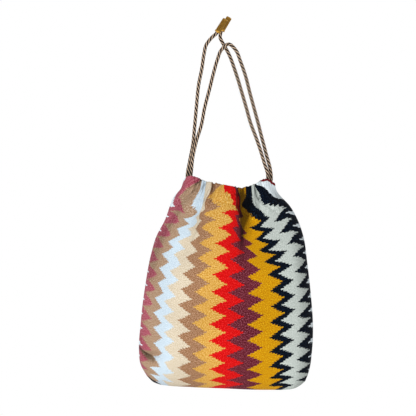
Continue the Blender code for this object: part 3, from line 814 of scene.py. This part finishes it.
def closed_sheet(name, middle, push, half_wall, side, material, cloth_uv, values=None):
    """Make a closed sheet: its faces lie half a wall either side of its middle, its rim is round.

    Each column of points runs down the outer face, back up the inner one, and over the rim on a
    half circle. A strip closes each side edge. values gives each point a number on the outer
    face, on the inner face and over the rim.
    """
    outer = middle - push * half_wall[..., None]
    inner = middle + push * half_wall[..., None]
    for face in (outer, inner):
        face[seam_mask(middle.shape[:2]), 1] = side * SEAM_GAP / 2
    columns, rows = middle.shape[:2]
    turn = np.linspace(0.0, math.pi, ROUND_ROWS + 2)[1:-1]
    up = unit(middle[:, 0] - middle[:, 1])[:, None]
    over = middle[:, :1] + half_wall[:, :1, None] * spoke(turn, push[:, :1], up)
    points = np.concatenate((outer, inner[:, ::-1], over), axis=1)
    index, closed = rings_closed(*points.shape[:2])
    faces = [grid_faces(closed)]

    # The pattern's map is the same on both faces; the bake's map lays them out side by side
    rim_uv = np.repeat(cloth_uv[:, :1], ROUND_ROWS + 1, axis=1)
    pattern = np.concatenate((cloth_uv, cloth_uv[:, ::-1], rim_uv), axis=1)
    along = np.concatenate((np.linspace(*BAKE_OUTER, rows), np.linspace(*BAKE_INNER, rows),
                            np.linspace(*BAKE_RIM, ROUND_ROWS + 1)))
    bake = grid(np.linspace(*BAKE_ACROSS, columns), along)
    maps = {"Cloth": [corner_values(pattern)], "OFBake": [corner_values(bake)]}

    # A side strip runs between the two faces and ends in the half round end of the rim
    half = ROUND_ROWS // 2
    for column, start in zip((0, columns - 1), BAKE_STRIPS):
        ends = index[column, 2 * rows:]
        front = np.concatenate((ends[half:], index[column, :rows]))
        back = np.concatenate((ends[:half][::-1], index[column, 2 * rows - 1:rows - 1:-1]))
        strip = grid_faces(np.stack((front, back)))
        strip_uv = np.concatenate((np.repeat(cloth_uv[column, :1], half, axis=0),
                                   cloth_uv[column]))
        flat = grid((start, start + BAKE_STRIP_WIDTH), np.linspace(0, 1, len(front)))
        order = slice(None) if column else slice(None, None, -1)
        faces.append(strip[:, order])
        maps["Cloth"].append(corner_values(np.stack((strip_uv, strip_uv)))[:, order])
        maps["OFBake"].append(corner_values(flat)[:, order])
    maps = {label: np.concatenate(parts) for label, parts in maps.items()}
    return build_mesh(name, points.reshape(-1, 3), np.concatenate(faces), material, maps,
                      values=values)


# The cord and its caps

def smooth_route(points, step):
    """Return points a step apart on a smooth curve through the route's points."""
    route = np.array(points)
    knots = way_along(route)
    fine = np.linspace(0.0, knots[-1], FINE_POINTS)
    dense = np.stack([smooth_curve(fine, list(zip(knots, axis))) for axis in route.T], axis=1)
    far = way_along(dense)
    places = np.linspace(0.0, far[-1], round(far[-1] / step) + 1)
    return np.stack([np.interp(places, far, axis) for axis in dense.T], axis=1), far[-1]


def cord_frames(path):
    """Return the path's directions and two unit vectors square to them, from the Y axis."""
    along = unit(np.gradient(path, axis=0))
    aside = unit(np.cross(along, (0.0, 1.0, 0.0)))
    return along, aside, np.cross(aside, along)


def twisted_rope(name, path, total, diameter, lay, plies, material):
    """Make a laid cord: a lobed profile carried along the path while it turns round it.

    The profile is the outline of round plies on a circle: at an angle from a ply's middle, its
    radius is the circle's times the cosine, plus the root of the ply's radius squared less the
    circle's times the sine squared.
    """
    lobes = 2 * plies
    around = PLY_POINTS * lobes
    circle = diameter / 3
    ply = diameter / 2 - circle
    angle = angles_round(around)
    off = (angle + math.pi / lobes) % (2 * math.pi / lobes) - math.pi / lobes
    radius = circle * np.cos(off) + np.sqrt(ply ** 2 - (circle * np.sin(off)) ** 2)

    rings = len(path)
    far = np.linspace(0.0, total, rings)
    _, aside, other = cord_frames(path)
    turned = angle[None] + 2 * math.pi * far[:, None] / lay
    points = path[:, None] + radius[:, None] * spoke(turned, aside[:, None], other[:, None])

    # One map follows the plies; the bake's map cuts the cord into strips that lie side by side,
    # with its ends' rounds above the first two
    ply_map = grid(far, np.linspace(0.0, 1.0, around + 1))[..., ::-1]
    long = math.ceil((rings - 1) / ROPE_STRIPS)
    ring, turn = np.meshgrid(np.arange(rings - 1), np.arange(around), indexing="ij")
    strip, step = np.divmod(ring, long)
    up = np.stack((step, step + 1, step + 1, step), axis=-1) / long
    sideways = np.stack((turn, turn, turn + 1, turn + 1), axis=-1) / around
    inside = STRIP_MARGIN + (1 - 2 * STRIP_MARGIN) * sideways
    bake = np.stack(((strip[..., None] + inside) / ROPE_STRIPS, STRIP_TOP * up), axis=-1)
    maps = {"Plies": corner_values(ply_map), "OFBake": bake.reshape(-1, 4, 2)}
    return build_tube(name, points, material, maps, ROPE_ENDS)


def turned_cap(name, end, beside, flutes, material):
    """Turn a fluted cap that the cord's last stretch runs into, from beside to end.

    A profile of radius and height, in metres, is turned round the cord's line: the bore with its
    floor, the rounded lip, the collar, the barrel and the end with its broken edge. On the barrel
    the radius loses a groove: its depth times the square of a cosine of the flutes' angle.
    """
    end, beside = np.array(end), np.array(beside)
    axis = unit(end - beside)
    radius, bore = CAP_DIAMETER / 2, CAP_BORE / 2
    floor = CAP_BORE_DEPTH + CAP_CLEAR
    barrel = CAP_LENGTH - 0.0010
    profile = np.array((
        (0.0006, floor), (bore - 0.0002, floor), (bore, floor - 0.0002), (bore, 0.0006),
        (bore + 0.0002, 0.0002), (bore + 0.0005, 0.0), (radius - 0.0001, 0.0),
        (radius + 0.0002, 0.0001), (radius + 0.0004, 0.0005), (radius + 0.0004, 0.0022),
        (radius + 0.0002, 0.0026), (radius, 0.0027), (radius, 0.0032), (radius, 0.0040),
        (radius, barrel / 2), (radius, barrel - 0.0018), (radius, barrel - 0.0008),
        (radius, barrel), (radius - 0.0003, CAP_LENGTH - 0.0004),
        (radius - 0.0008, CAP_LENGTH), (0.0006, CAP_LENGTH)))
    around = FLUTE_POINTS * flutes
    angle = angles_round(around)
    height = profile[:, 1]
    grooved = (profile[:, 0] > radius - 0.0001) & (height > 0.0031) & (height < barrel - 0.0007)
    groove = grooved[:, None] * np.cos(flutes * angle / 2)[None] ** 2
    spread = profile[:, :1] - FLUTE_DEPTH * groove
    _, aside, other = (part[0] for part in cord_frames(np.stack((beside, end))))
    mouth = end - axis * CAP_BORE_DEPTH
    points = mouth + height[:, None, None] * axis + spread[..., None] * spoke(angle, aside, other)
    up = way_along(profile)
    uv = grid(up / up[-1] * CAP_TOP, np.linspace(0.0, 1.0, around + 1))[..., ::-1]
    return build_tube(name, points, material, {"OFBake": corner_values(uv)}, CAP_ENDS,
                      {"Groove": groove})


# Materials

MATH = "ShaderNodeMath"
VECTOR_MATH = "ShaderNodeVectorMath"
RANGE = "ShaderNodeMapRange"
MIX = "ShaderNodeMix"
NOISE = "ShaderNodeTexNoise"
WAVES = "ShaderNodeTexWave"
BUMP = "ShaderNodeBump"
ATTRIBUTE = "ShaderNodeAttribute"
PLACE = "ShaderNodeTexCoord"
UV_MAP = "ShaderNodeUVMap"
PARTS = "ShaderNodeSeparateXYZ"
# The patterns are measured in millimetres, of which a metre has so many
MILLIMETRE = 1000.0
# How far single threads stand out, in metres
THREAD_RELIEF = 0.0002


def add_node(tree, kind, inputs=None, **settings):
    """Add a node with its settings; its inputs are values, nodes, or the sockets of nodes."""
    node = tree.nodes.new(kind)
    for name, value in settings.items():
        setattr(node, name, value)
    for name, value in (inputs or {}).items():
        if isinstance(value, bpy.types.Node):
            tree.links.new(value.outputs[0], node.inputs[name])
        elif isinstance(value, bpy.types.NodeSocket):
            tree.links.new(value, node.inputs[name])
        else:
            node.inputs[name].default_value = value
    return node


def start_material(name, roughness, specular=0.5, metallic=0.0):
    """Return a new material, its node tree and its shader."""
    material = bpy.data.materials.new(name)
    material.use_nodes = True
    shader = material.node_tree.nodes["Principled BSDF"]
    shader.inputs["Roughness"].default_value = roughness
    shader.inputs["Specular IOR Level"].default_value = specular
    shader.inputs["Metallic"].default_value = metallic
    return material, material.node_tree, shader


def pile_cloth(cloth, trim):
    """Wool pile on a woven ground: matt and soft, with a faint pale sheen where it is seen aslant.

    Its zigzags climb a step a row, single tufts stray over their edges, and no two tufts are
    quite the same shade.
    """
    material, tree, shader = start_material("Woven wool pile", roughness=0.95, specular=0.08)
    shader.inputs["Sheen Weight"].default_value = cloth.sheen
    shader.inputs["Sheen Roughness"].default_value = 0.45

    # The cloth's own millimetres across, and its woven rows down, which lie 2.1 mm apart
    uv = add_node(tree, UV_MAP, uv_map="Cloth")
    flat = add_node(tree, PARTS, {0: uv})
    across = add_node(tree, MATH, {0: flat.outputs[0], 1: WEFT_SPAN * MILLIMETRE,
                                   2: WEFT_START * MILLIMETRE}, operation="MULTIPLY_ADD")
    down = add_node(tree, MATH, {0: flat.outputs[1], 1: ZIGZAG_SPAN * cloth.rows,
                                 2: ZIGZAG_START * cloth.rows}, operation="MULTIPLY_ADD")
    row_spacing = 2.1
    place = add_node(tree, "ShaderNodeCombineXYZ", {
        0: across, 1: add_node(tree, MATH, {0: down, 1: row_spacing}, operation="MULTIPLY")})

    # Rows wander over about 14 mm by part of a row, then each takes one step of the zigzag
    wander = add_node(tree, NOISE, {"Vector": place, "Scale": 0.07, "Detail": 1.0},
                      noise_dimensions="2D")
    wavy = add_node(tree, MATH, {0: wander, 1: 1.6, 2: down}, operation="MULTIPLY_ADD")
    row = add_node(tree, MATH, {0: wavy, 1: 0.3}, operation="SUBTRACT")
    snapped = add_node(tree, MATH, {0: row, 1: 1.0}, operation="SNAP")
    # Above the first zigzag the bands run straight
    stepped = add_node(tree, MATH, {0: snapped, 1: -float(cloth.rows)}, operation="MAXIMUM")
    turn = add_node(tree, MATH, {0: stepped, 1: 1.0 / cloth.rows}, operation="MULTIPLY")
    saw = add_node(tree, MATH, {0: turn}, operation="FRACT")
    fold = add_node(tree, MATH, {0: saw, 1: 2.0, 2: -1.0}, operation="MULTIPLY_ADD")
    point = add_node(tree, MATH, {0: fold}, operation="ABSOLUTE")
    swing = cloth.swing * MILLIMETRE
    shift = add_node(tree, MATH, {0: point, 1: swing, 2: -swing / 2}, operation="MULTIPLY_ADD")
    moved = add_node(tree, MATH, {0: across, 1: shift}, operation="ADD")

    # Tufts stray over a band's edge: the noise keeps to about a fifth of its range
    tuft = cloth.tuft * MILLIMETRE
    stray = add_node(tree, NOISE, {"Vector": place, "Scale": 0.55 / tuft, "Detail": 2.0},
                     noise_dimensions="2D")
    reach = cloth.fibre * MILLIMETRE * 5
    strayed = add_node(tree, MATH, {0: stray, 1: reach, 2: -reach / 2}, operation="MULTIPLY_ADD")
    weft = add_node(tree, MATH, {0: moved, 1: strayed}, operation="ADD")

    # The bands, each one plain colour; the ramp runs on a little beyond their outer edges
    low, high = EDGE_PLACES[0] - 0.02, EDGE_PLACES[-1] + 0.02
    span = (high - low) * MILLIMETRE
    on_ramp = add_node(tree, MATH, {0: weft, 1: 1 / span, 2: -low * MILLIMETRE / span},
                       operation="MULTIPLY_ADD")
    bands = add_node(tree, "ShaderNodeValToRGB", {0: on_ramp})
    ramp = bands.color_ramp
    ramp.interpolation = "CONSTANT"
    colours = (cloth.pale, cloth.mauve, cloth.tan, cloth.sky, cloth.cream, cloth.taupe,
               cloth.ochre, cloth.red, cloth.plum, cloth.mustard, cloth.navy, cloth.silver,
               cloth.navy, cloth.white)
    stops = (0.0, *[(edge - low) / (high - low) for edge in EDGE_PLACES])
    ramp.elements[0].color = colours[0]
    ramp.elements[1].position = stops[1]
    ramp.elements[1].color = colours[1]
    for stop, band in zip(stops[2:], colours[2:]):
        ramp.elements.new(stop).color = band

    # Each tuft has its own shade, and so has each patch of about 55 mm; the rows show faintly
    grain_low, grain_high = 0.32, 0.68
    grain = add_node(tree, NOISE, {"Vector": place, "Scale": 0.85 / tuft, "Detail": 3.0,
                                   "Roughness": 0.75}, noise_dimensions="2D")
    fleck = add_node(tree, RANGE, {"Value": grain, "From Min": grain_low,
                                   "From Max": grain_high, "To Min": 1.80, "To Max": 0.56})
    tufted = add_node(tree, "ShaderNodeGamma", {0: bands, 1: fleck})
    patch = add_node(tree, NOISE, {"Vector": place, "Scale": 0.018, "Detail": 1.0},
                     noise_dimensions="2D")
    worn = add_node(tree, RANGE, {"Value": patch, "From Min": 0.3, "From Max": 0.7,
                                  "To Min": 0.95, "To Max": 1.03})
    wave = add_node(tree, MATH, {0: add_node(tree, MATH, {0: row, 1: 2 * math.pi},
                                             operation="MULTIPLY")}, operation="COSINE")
    ribbed = add_node(tree, MATH, {0: wave, 1: 0.03, 2: 0.985}, operation="MULTIPLY_ADD")
    glint = add_node(tree, RANGE, {"Value": grain, "From Min": grain_low,
                                   "From Max": grain_high, "To Min": 0.93, "To Max": 1.05})
    shade = add_node(tree, MATH, {0: worn, 1: ribbed}, operation="MULTIPLY")
    shade = add_node(tree, MATH, {0: shade, 1: glint}, operation="MULTIPLY")
    # Painted shade in the folds and where the sides turn away: the darkest keeps a fifth of its
    # light
    painted_shade = add_node(tree, ATTRIBUTE, attribute_name="PaintedShade")
    depth = add_node(tree, MATH, {0: painted_shade.outputs["Fac"], 1: -0.80, 2: 1.0},
                     operation="MULTIPLY_ADD")
    shade = add_node(tree, MATH, {0: shade, 1: depth}, operation="MULTIPLY")
    pile = add_node(tree, VECTOR_MATH, {0: tufted, 3: shade}, operation="SCALE")

    # The lining's facing comes up inside the mouth and just over its right ear, and the seam's
    # tape shows at the lower left corner
    finish = pile
    for label, dye in (("Facing", trim.lining), ("Tape", trim.binding)):
        mark = add_node(tree, ATTRIBUTE, attribute_name=label)
        shows = add_node(tree, MATH, {0: mark.outputs["Fac"], 1: 0.0}, operation="GREATER_THAN")
        mixed = add_node(tree, MIX, {0: shows, 6: finish, 7: dye}, data_type="RGBA")
        finish = mixed.outputs[2]
    tree.links.new(finish, shader.inputs["Base Color"])

    relief = add_node(tree, MATH, {0: wave, 1: 0.10, 2: grain}, operation="MULTIPLY_ADD")
    bump = add_node(tree, BUMP, {"Strength": 0.8, "Distance": cloth.pile, "Height": relief})
    tree.links.new(bump.outputs[0], shader.inputs["Normal"])
    return material


def lining_cotton(trim):
    """Plain weave cotton: matt, even, with a fine thread grain.

    Its threads are about 0.4 mm apart; they are drawn 0.8 mm apart so that they show.
    """
    material, tree, shader = start_material("Dyed lining cotton", roughness=0.85, specular=0.25)
    uv = add_node(tree, UV_MAP, uv_map="Cloth")
    # The map runs over the lining in units of about 0.7 mm, and a thread takes 1.2 of them
    size = add_node(tree, VECTOR_MATH, {0: uv, 1: (380.0, 462.0, 1.0)}, operation="MULTIPLY")
    warp, weft = (add_node(tree, WAVES, {"Vector": size, "Scale": 0.26, "Distortion": 0.4},
                           bands_direction=direction) for direction in "XY")
    weave = add_node(tree, MATH, {0: warp.outputs["Fac"], 1: weft.outputs["Fac"]},
                     operation="MULTIPLY")
    patch = add_node(tree, NOISE, {"Vector": size, "Scale": 0.05, "Detail": 3.0})
    tone = add_node(tree, MATH, {0: weave, 1: 0.25, 2: 0.70}, operation="MULTIPLY_ADD")
    tone = add_node(tree, MATH, {0: patch, 1: 0.35, 2: tone}, operation="MULTIPLY_ADD")
    dyed = add_node(tree, VECTOR_MATH, {0: trim.lining[:3], 3: tone}, operation="SCALE")
    tree.links.new(dyed.outputs[0], shader.inputs["Base Color"])
    bump = add_node(tree, BUMP, {"Strength": 0.6, "Distance": THREAD_RELIEF, "Height": weave})
    tree.links.new(bump.outputs[0], shader.inputs["Normal"])
    return material


def rope_yarn(trim):
    """Spun rayon yarn, two shades laid up together: a soft gloss and a fine slanting grain.

    Its filaments are too fine to show, so their strands are drawn 0.9 mm apart.
    """
    material, tree, shader = start_material("Laid rayon yarn", roughness=0.60, specular=0.40)
    uv = add_node(tree, UV_MAP, uv_map="Plies")
    flat = add_node(tree, PARTS, {0: uv})
    turn = add_node(tree, MATH, {0: flat.outputs[0], 1: float(trim.plies)}, operation="MULTIPLY")
    part = add_node(tree, MATH, {0: turn}, operation="FRACT")
    middle = add_node(tree, MATH, {0: part, 1: 0.5}, operation="SUBTRACT")
    off = add_node(tree, MATH, {0: middle}, operation="ABSOLUTE")
    # A light ply shows narrower than a dark one: a third of the pair
    light = add_node(tree, MATH, {0: off, 1: 0.17}, operation="LESS_THAN")
    yarn = add_node(tree, MIX, {0: light, 6: trim.cord_dark, 7: trim.cord_light},
                    data_type="RGBA")
    # On a ply a strand comes every 0.7 mm of the cord's length, and eight lie round the cord
    slant = add_node(tree, MATH, {0: flat.outputs[1], 1: 9000.0}, operation="MULTIPLY")
    slant = add_node(tree, MATH, {0: flat.outputs[0], 1: 16 * math.pi, 2: slant},
                     operation="MULTIPLY_ADD")
    strand = add_node(tree, MATH, {0: slant}, operation="SINE")
    place = add_node(tree, PLACE)
    fluff = add_node(tree, NOISE, {"Vector": place.outputs["Object"], "Scale": 900.0,
                                   "Detail": 2.0})
    tone = add_node(tree, MATH, {0: strand, 1: 0.10, 2: 0.62}, operation="MULTIPLY_ADD")
    tone = add_node(tree, MATH, {0: fluff, 1: 0.7, 2: tone}, operation="MULTIPLY_ADD")
    spun = add_node(tree, VECTOR_MATH, {0: yarn.outputs[2], 3: tone}, operation="SCALE")
    tree.links.new(spun.outputs[0], shader.inputs["Base Color"])
    bump = add_node(tree, BUMP, {"Strength": 0.7, "Distance": THREAD_RELIEF, "Height": strand})
    tree.links.new(bump.outputs[0], shader.inputs["Normal"])
    return material


def old_brass(trim):
    """Turned brass with age on it: bright on the ridges, brown in the grooves."""
    material, tree, shader = start_material("Aged turned brass", roughness=0.28, metallic=1.0)
    groove = add_node(tree, ATTRIBUTE, attribute_name="Groove")
    place = add_node(tree, PLACE)
    patina = add_node(tree, NOISE, {"Vector": place.outputs["Object"], "Scale": 420.0,
                                    "Detail": 4.0})
    aged = add_node(tree, MATH, {0: patina, 1: 0.5, 2: groove.outputs["Fac"]},
                    operation="MULTIPLY_ADD")
    aged = add_node(tree, RANGE, {"Value": aged, "From Min": 0.30, "From Max": 1.10})
    metal = add_node(tree, MIX, {0: aged, 6: trim.brass, 7: trim.patina}, data_type="RGBA")
    tree.links.new(metal.outputs[2], shader.inputs["Base Color"])
    dull = add_node(tree, RANGE, {"Value": aged, "To Min": 0.24, "To Max": 0.55})
    tree.links.new(dull.outputs[0], shader.inputs["Roughness"])
    return material


def painted_floor(stage):
    """Smooth matt paint: even, with no gloss."""
    material, tree, shader = start_material("Matt floor paint", roughness=0.9, specular=0.2)
    place = add_node(tree, PLACE)
    cloud = add_node(tree, NOISE, {"Vector": place.outputs["Object"], "Scale": 3.0})
    tone = add_node(tree, MATH, {0: cloud, 1: 0.02, 2: 0.99}, operation="MULTIPLY_ADD")
    paint = add_node(tree, VECTOR_MATH, {0: stage.floor[:3], 3: tone}, operation="SCALE")
    tree.links.new(paint.outputs[0], shader.inputs["Base Color"])
    return material


# Operators

class POUCH_OT_stage(bpy.types.Operator):
    """Set up the floor, the sky, the soft lights and the camera"""
    bl_idname = "pouch.stage"
    bl_label = "Stage"

    def execute(self, context):
        scene = context.scene
        stage = scene.pouch_stage
        scene.view_settings.view_transform = "Standard"

        right, back, up = np.eye(3)
        radius, height = np.array(FLOOR_PROFILE).T[..., None, None]
        points = (radius * spoke(angles_round(FLOOR_POINTS), right, back)
                  + (height - stage.floor_drop) * up)
        uv = grid(np.linspace(FLOOR_BASE, 1, len(FLOOR_PROFILE)),
                  np.linspace(0, 1, FLOOR_POINTS + 1))
        floor = build_tube("floor", points, painted_floor(stage), {"OFBake": corner_values(uv)},
                           FLOOR_ENDS)

        # The sky is white round the horizon, which lies behind the pouch, and greyer overhead
        world = bpy.data.worlds.new("Studio sky")
        world.use_nodes = True
        scene.world = world
        tree = world.node_tree
        way = add_node(tree, PLACE)
        parts = add_node(tree, PARTS, {0: way.outputs["Generated"]})
        height = add_node(tree, MATH, {0: parts.outputs[2]}, operation="ABSOLUTE")
        glow = add_node(tree, RANGE, {
            "Value": height, "From Min": SKY_LOW, "From Max": SKY_HIGH, "To Min": stage.glow,
            "To Max": stage.sky}, interpolation_type="SMOOTHSTEP")
        tree.links.new(glow.outputs[0], tree.nodes["Background"].inputs["Strength"])
        tree.nodes["Background"].inputs["Color"].default_value = (1.0, 1.0, 1.0, 1.0)

        for name, place, size, power in LIGHTS:
            light = bpy.data.lights.new(name, "AREA")
            light.shape = "DISK"
            light.size = size
            light.energy = stage.key * power
            lamp = bpy.data.objects.new(name, light)
            scene.collection.objects.link(lamp)
            lamp.location = place
            away = np.array(place) - np.array(LIGHT_AIM)
            lamp.rotation_euler = (math.acos(away[2] / np.linalg.norm(away)), 0.0,
                                   math.atan2(away[0], -away[1]))

        view = bpy.data.cameras.new("camera")
        view.sensor_fit = "HORIZONTAL"
        view.sensor_width = SENSOR_WIDTH
        view.lens = SENSOR_WIDTH * VIEW_DISTANCE / (PICTURE_SIDE * METRES_A_PIXEL)
        view.clip_end = VIEW_END
        camera = bpy.data.objects.new("camera", view)
        scene.collection.objects.link(camera)
        camera.location = (VIEW_CENTRE[0], -VIEW_DISTANCE, VIEW_CENTRE[2])
        camera.rotation_euler = (math.pi / 2, 0.0, 0.0)
        scene.camera = camera
        return {"FINISHED"}


class POUCH_OT_caps(bpy.types.Operator):
    """Turn the two fluted brass caps on the cord's ends"""
    bl_idname = "pouch.caps"
    bl_label = "Brass caps"

    def execute(self, context):
        trim = context.scene.pouch_trim
        brass = old_brass(trim)
        for name, node, end, beside in (
                ("rear_cap", "cord_cap_rear", CORD_ROUTE[0], CORD_ROUTE[1]),
                ("front_cap", "cord_cap_front", CORD_ROUTE[-1], CORD_ROUTE[-2])):
            cap = turned_cap(name, end, beside, trim.flutes, brass)
            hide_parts(node)
        return {"FINISHED"}


class POUCH_OT_drawcord(bpy.types.Operator):
    """Lay up the two-tone cord along its route through both channels"""
    bl_idname = "pouch.drawcord"
    bl_label = "Drawcord"

    def execute(self, context):
        trim = context.scene.pouch_trim
        path, total = smooth_route(CORD_ROUTE, ROPE_STEP)
        rope = twisted_rope("twisted_cord", path, total, CORD_DIAMETER, trim.lay, trim.plies,
                            rope_yarn(trim))
        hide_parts("drawcord")
        return {"FINISHED"}


class POUCH_OT_sides(bpy.types.Operator):
    """Drape the woven front and back, gathered at the mouth"""
    bl_idname = "pouch.sides"
    bl_label = "Woven sides"

    def execute(self, context):
        scene = context.scene
        material = pile_cloth(scene.pouch_cloth, scene.pouch_trim)
        across, down = cloth_grid(*SIDE_GRID)
        from_rim = down * BAG_HEIGHT
        for side, name, node in ((-1, "front_cloth", "front_panel"),
                                 (1, "back_cloth", "back_panel")):
            cloth, _, push, half_wall, _ = side_surfaces(across, down, side)
            weft = weft_place(across, down, cloth[..., 0], side)
            number = zigzag_number(across, cloth[..., 2])
            uv = np.stack(((weft - WEFT_START) / WEFT_SPAN,
                           (number - ZIGZAG_START) / ZIGZAG_SPAN), axis=-1)
            # The facing shows where its number is above 0: outside as far down as its table says,
            # inside down to the channel's stitches, and over the rim where it comes up that far
            reach = smooth_curve(across, FACING) * (side < 0)
            over = np.repeat(reach[:, :1] - LEAST_REACH, ROUND_ROWS, axis=1)
            lined = np.where(from_rim < CHANNEL_HEIGHT, INSIDE_SIGN, -INSIDE_SIGN)
            values = {"Facing": np.concatenate((reach - from_rim, lined[:, ::-1], over), axis=1)}
            # Painted shade: folds, gathers, creases and turned-away edges darkened in the cloth's
            # own colour
            painted_shade = painted_shade_at(across, down, side)
            tape = np.minimum(np.minimum(across - TAPE_FROM, TAPE_TO - across) * TAPE_END_SLOPE,
                              down - smooth_curve(across, TAPE_EDGE))
            for label, shade in (("PaintedShade", painted_shade), ("Tape", tape)):
                rim = np.repeat(shade[:, :1], ROUND_ROWS, axis=1)
                values[label] = np.concatenate((shade, shade[:, ::-1], rim), axis=1)
            item = closed_sheet(name, cloth, push, half_wall, side, material, uv, values)
            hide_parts(node)
        return {"FINISHED"}


class POUCH_OT_linings(bpy.types.Operator):
    """Hang the two thin linings inside the woven sides"""
    bl_idname = "pouch.linings"
    bl_label = "Linings"

    def execute(self, context):
        material = lining_cotton(context.scene.pouch_trim)
        across, down = cloth_grid(*LINING_GRID)
        for side, name, node in ((-1, "front_facing", "lining_front"),
                                 (1, "back_facing", "lining_back")):
            _, lining, push, _, half_wall = side_surfaces(across, down, side)
            uv = np.stack((across, down), axis=-1)
            item = closed_sheet(name, lining, push, half_wall, side, material, uv)
            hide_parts(node)
        return {"FINISHED"}


GROUPS = {"pouch_cloth": PouchCloth, "pouch_trim": PouchTrim, "pouch_stage": PouchStage}
PIECES = ("pouch.stage", "pouch.caps", "pouch.drawcord", "pouch.sides", "pouch.linings")


class VIEW3D_PT_pouch(bpy.types.Panel):
    bl_label = "Drawstring pouch"
    bl_idname = "VIEW3D_PT_pouch"
    bl_space_type = "VIEW_3D"
    bl_region_type = "UI"
    bl_category = "Pouch"

    def draw(self, context):
        for piece in PIECES:
            self.layout.operator(piece)
        for label, kind in GROUPS.items():
            box = self.layout.box()
            for name in kind.__annotations__:
                box.prop(getattr(context.scene, label), name)


CLASSES = (*GROUPS.values(), POUCH_OT_stage, POUCH_OT_caps, POUCH_OT_drawcord, POUCH_OT_sides,
           POUCH_OT_linings, VIEW3D_PT_pouch)


def register():
    for kind in CLASSES:
        bpy.utils.register_class(kind)
    for label, kind in GROUPS.items():
        setattr(bpy.types.Scene, label, bpy.props.PointerProperty(type=kind))


def unregister():
    for label in GROUPS:
        delattr(bpy.types.Scene, label)
    for kind in reversed(CLASSES):
        bpy.utils.unregister_class(kind)


def main():
    register()
    for piece in PIECES:
        group, action = piece.split(".")
        getattr(getattr(bpy.ops, group), action)()


if __name__ == "__main__":
    main()
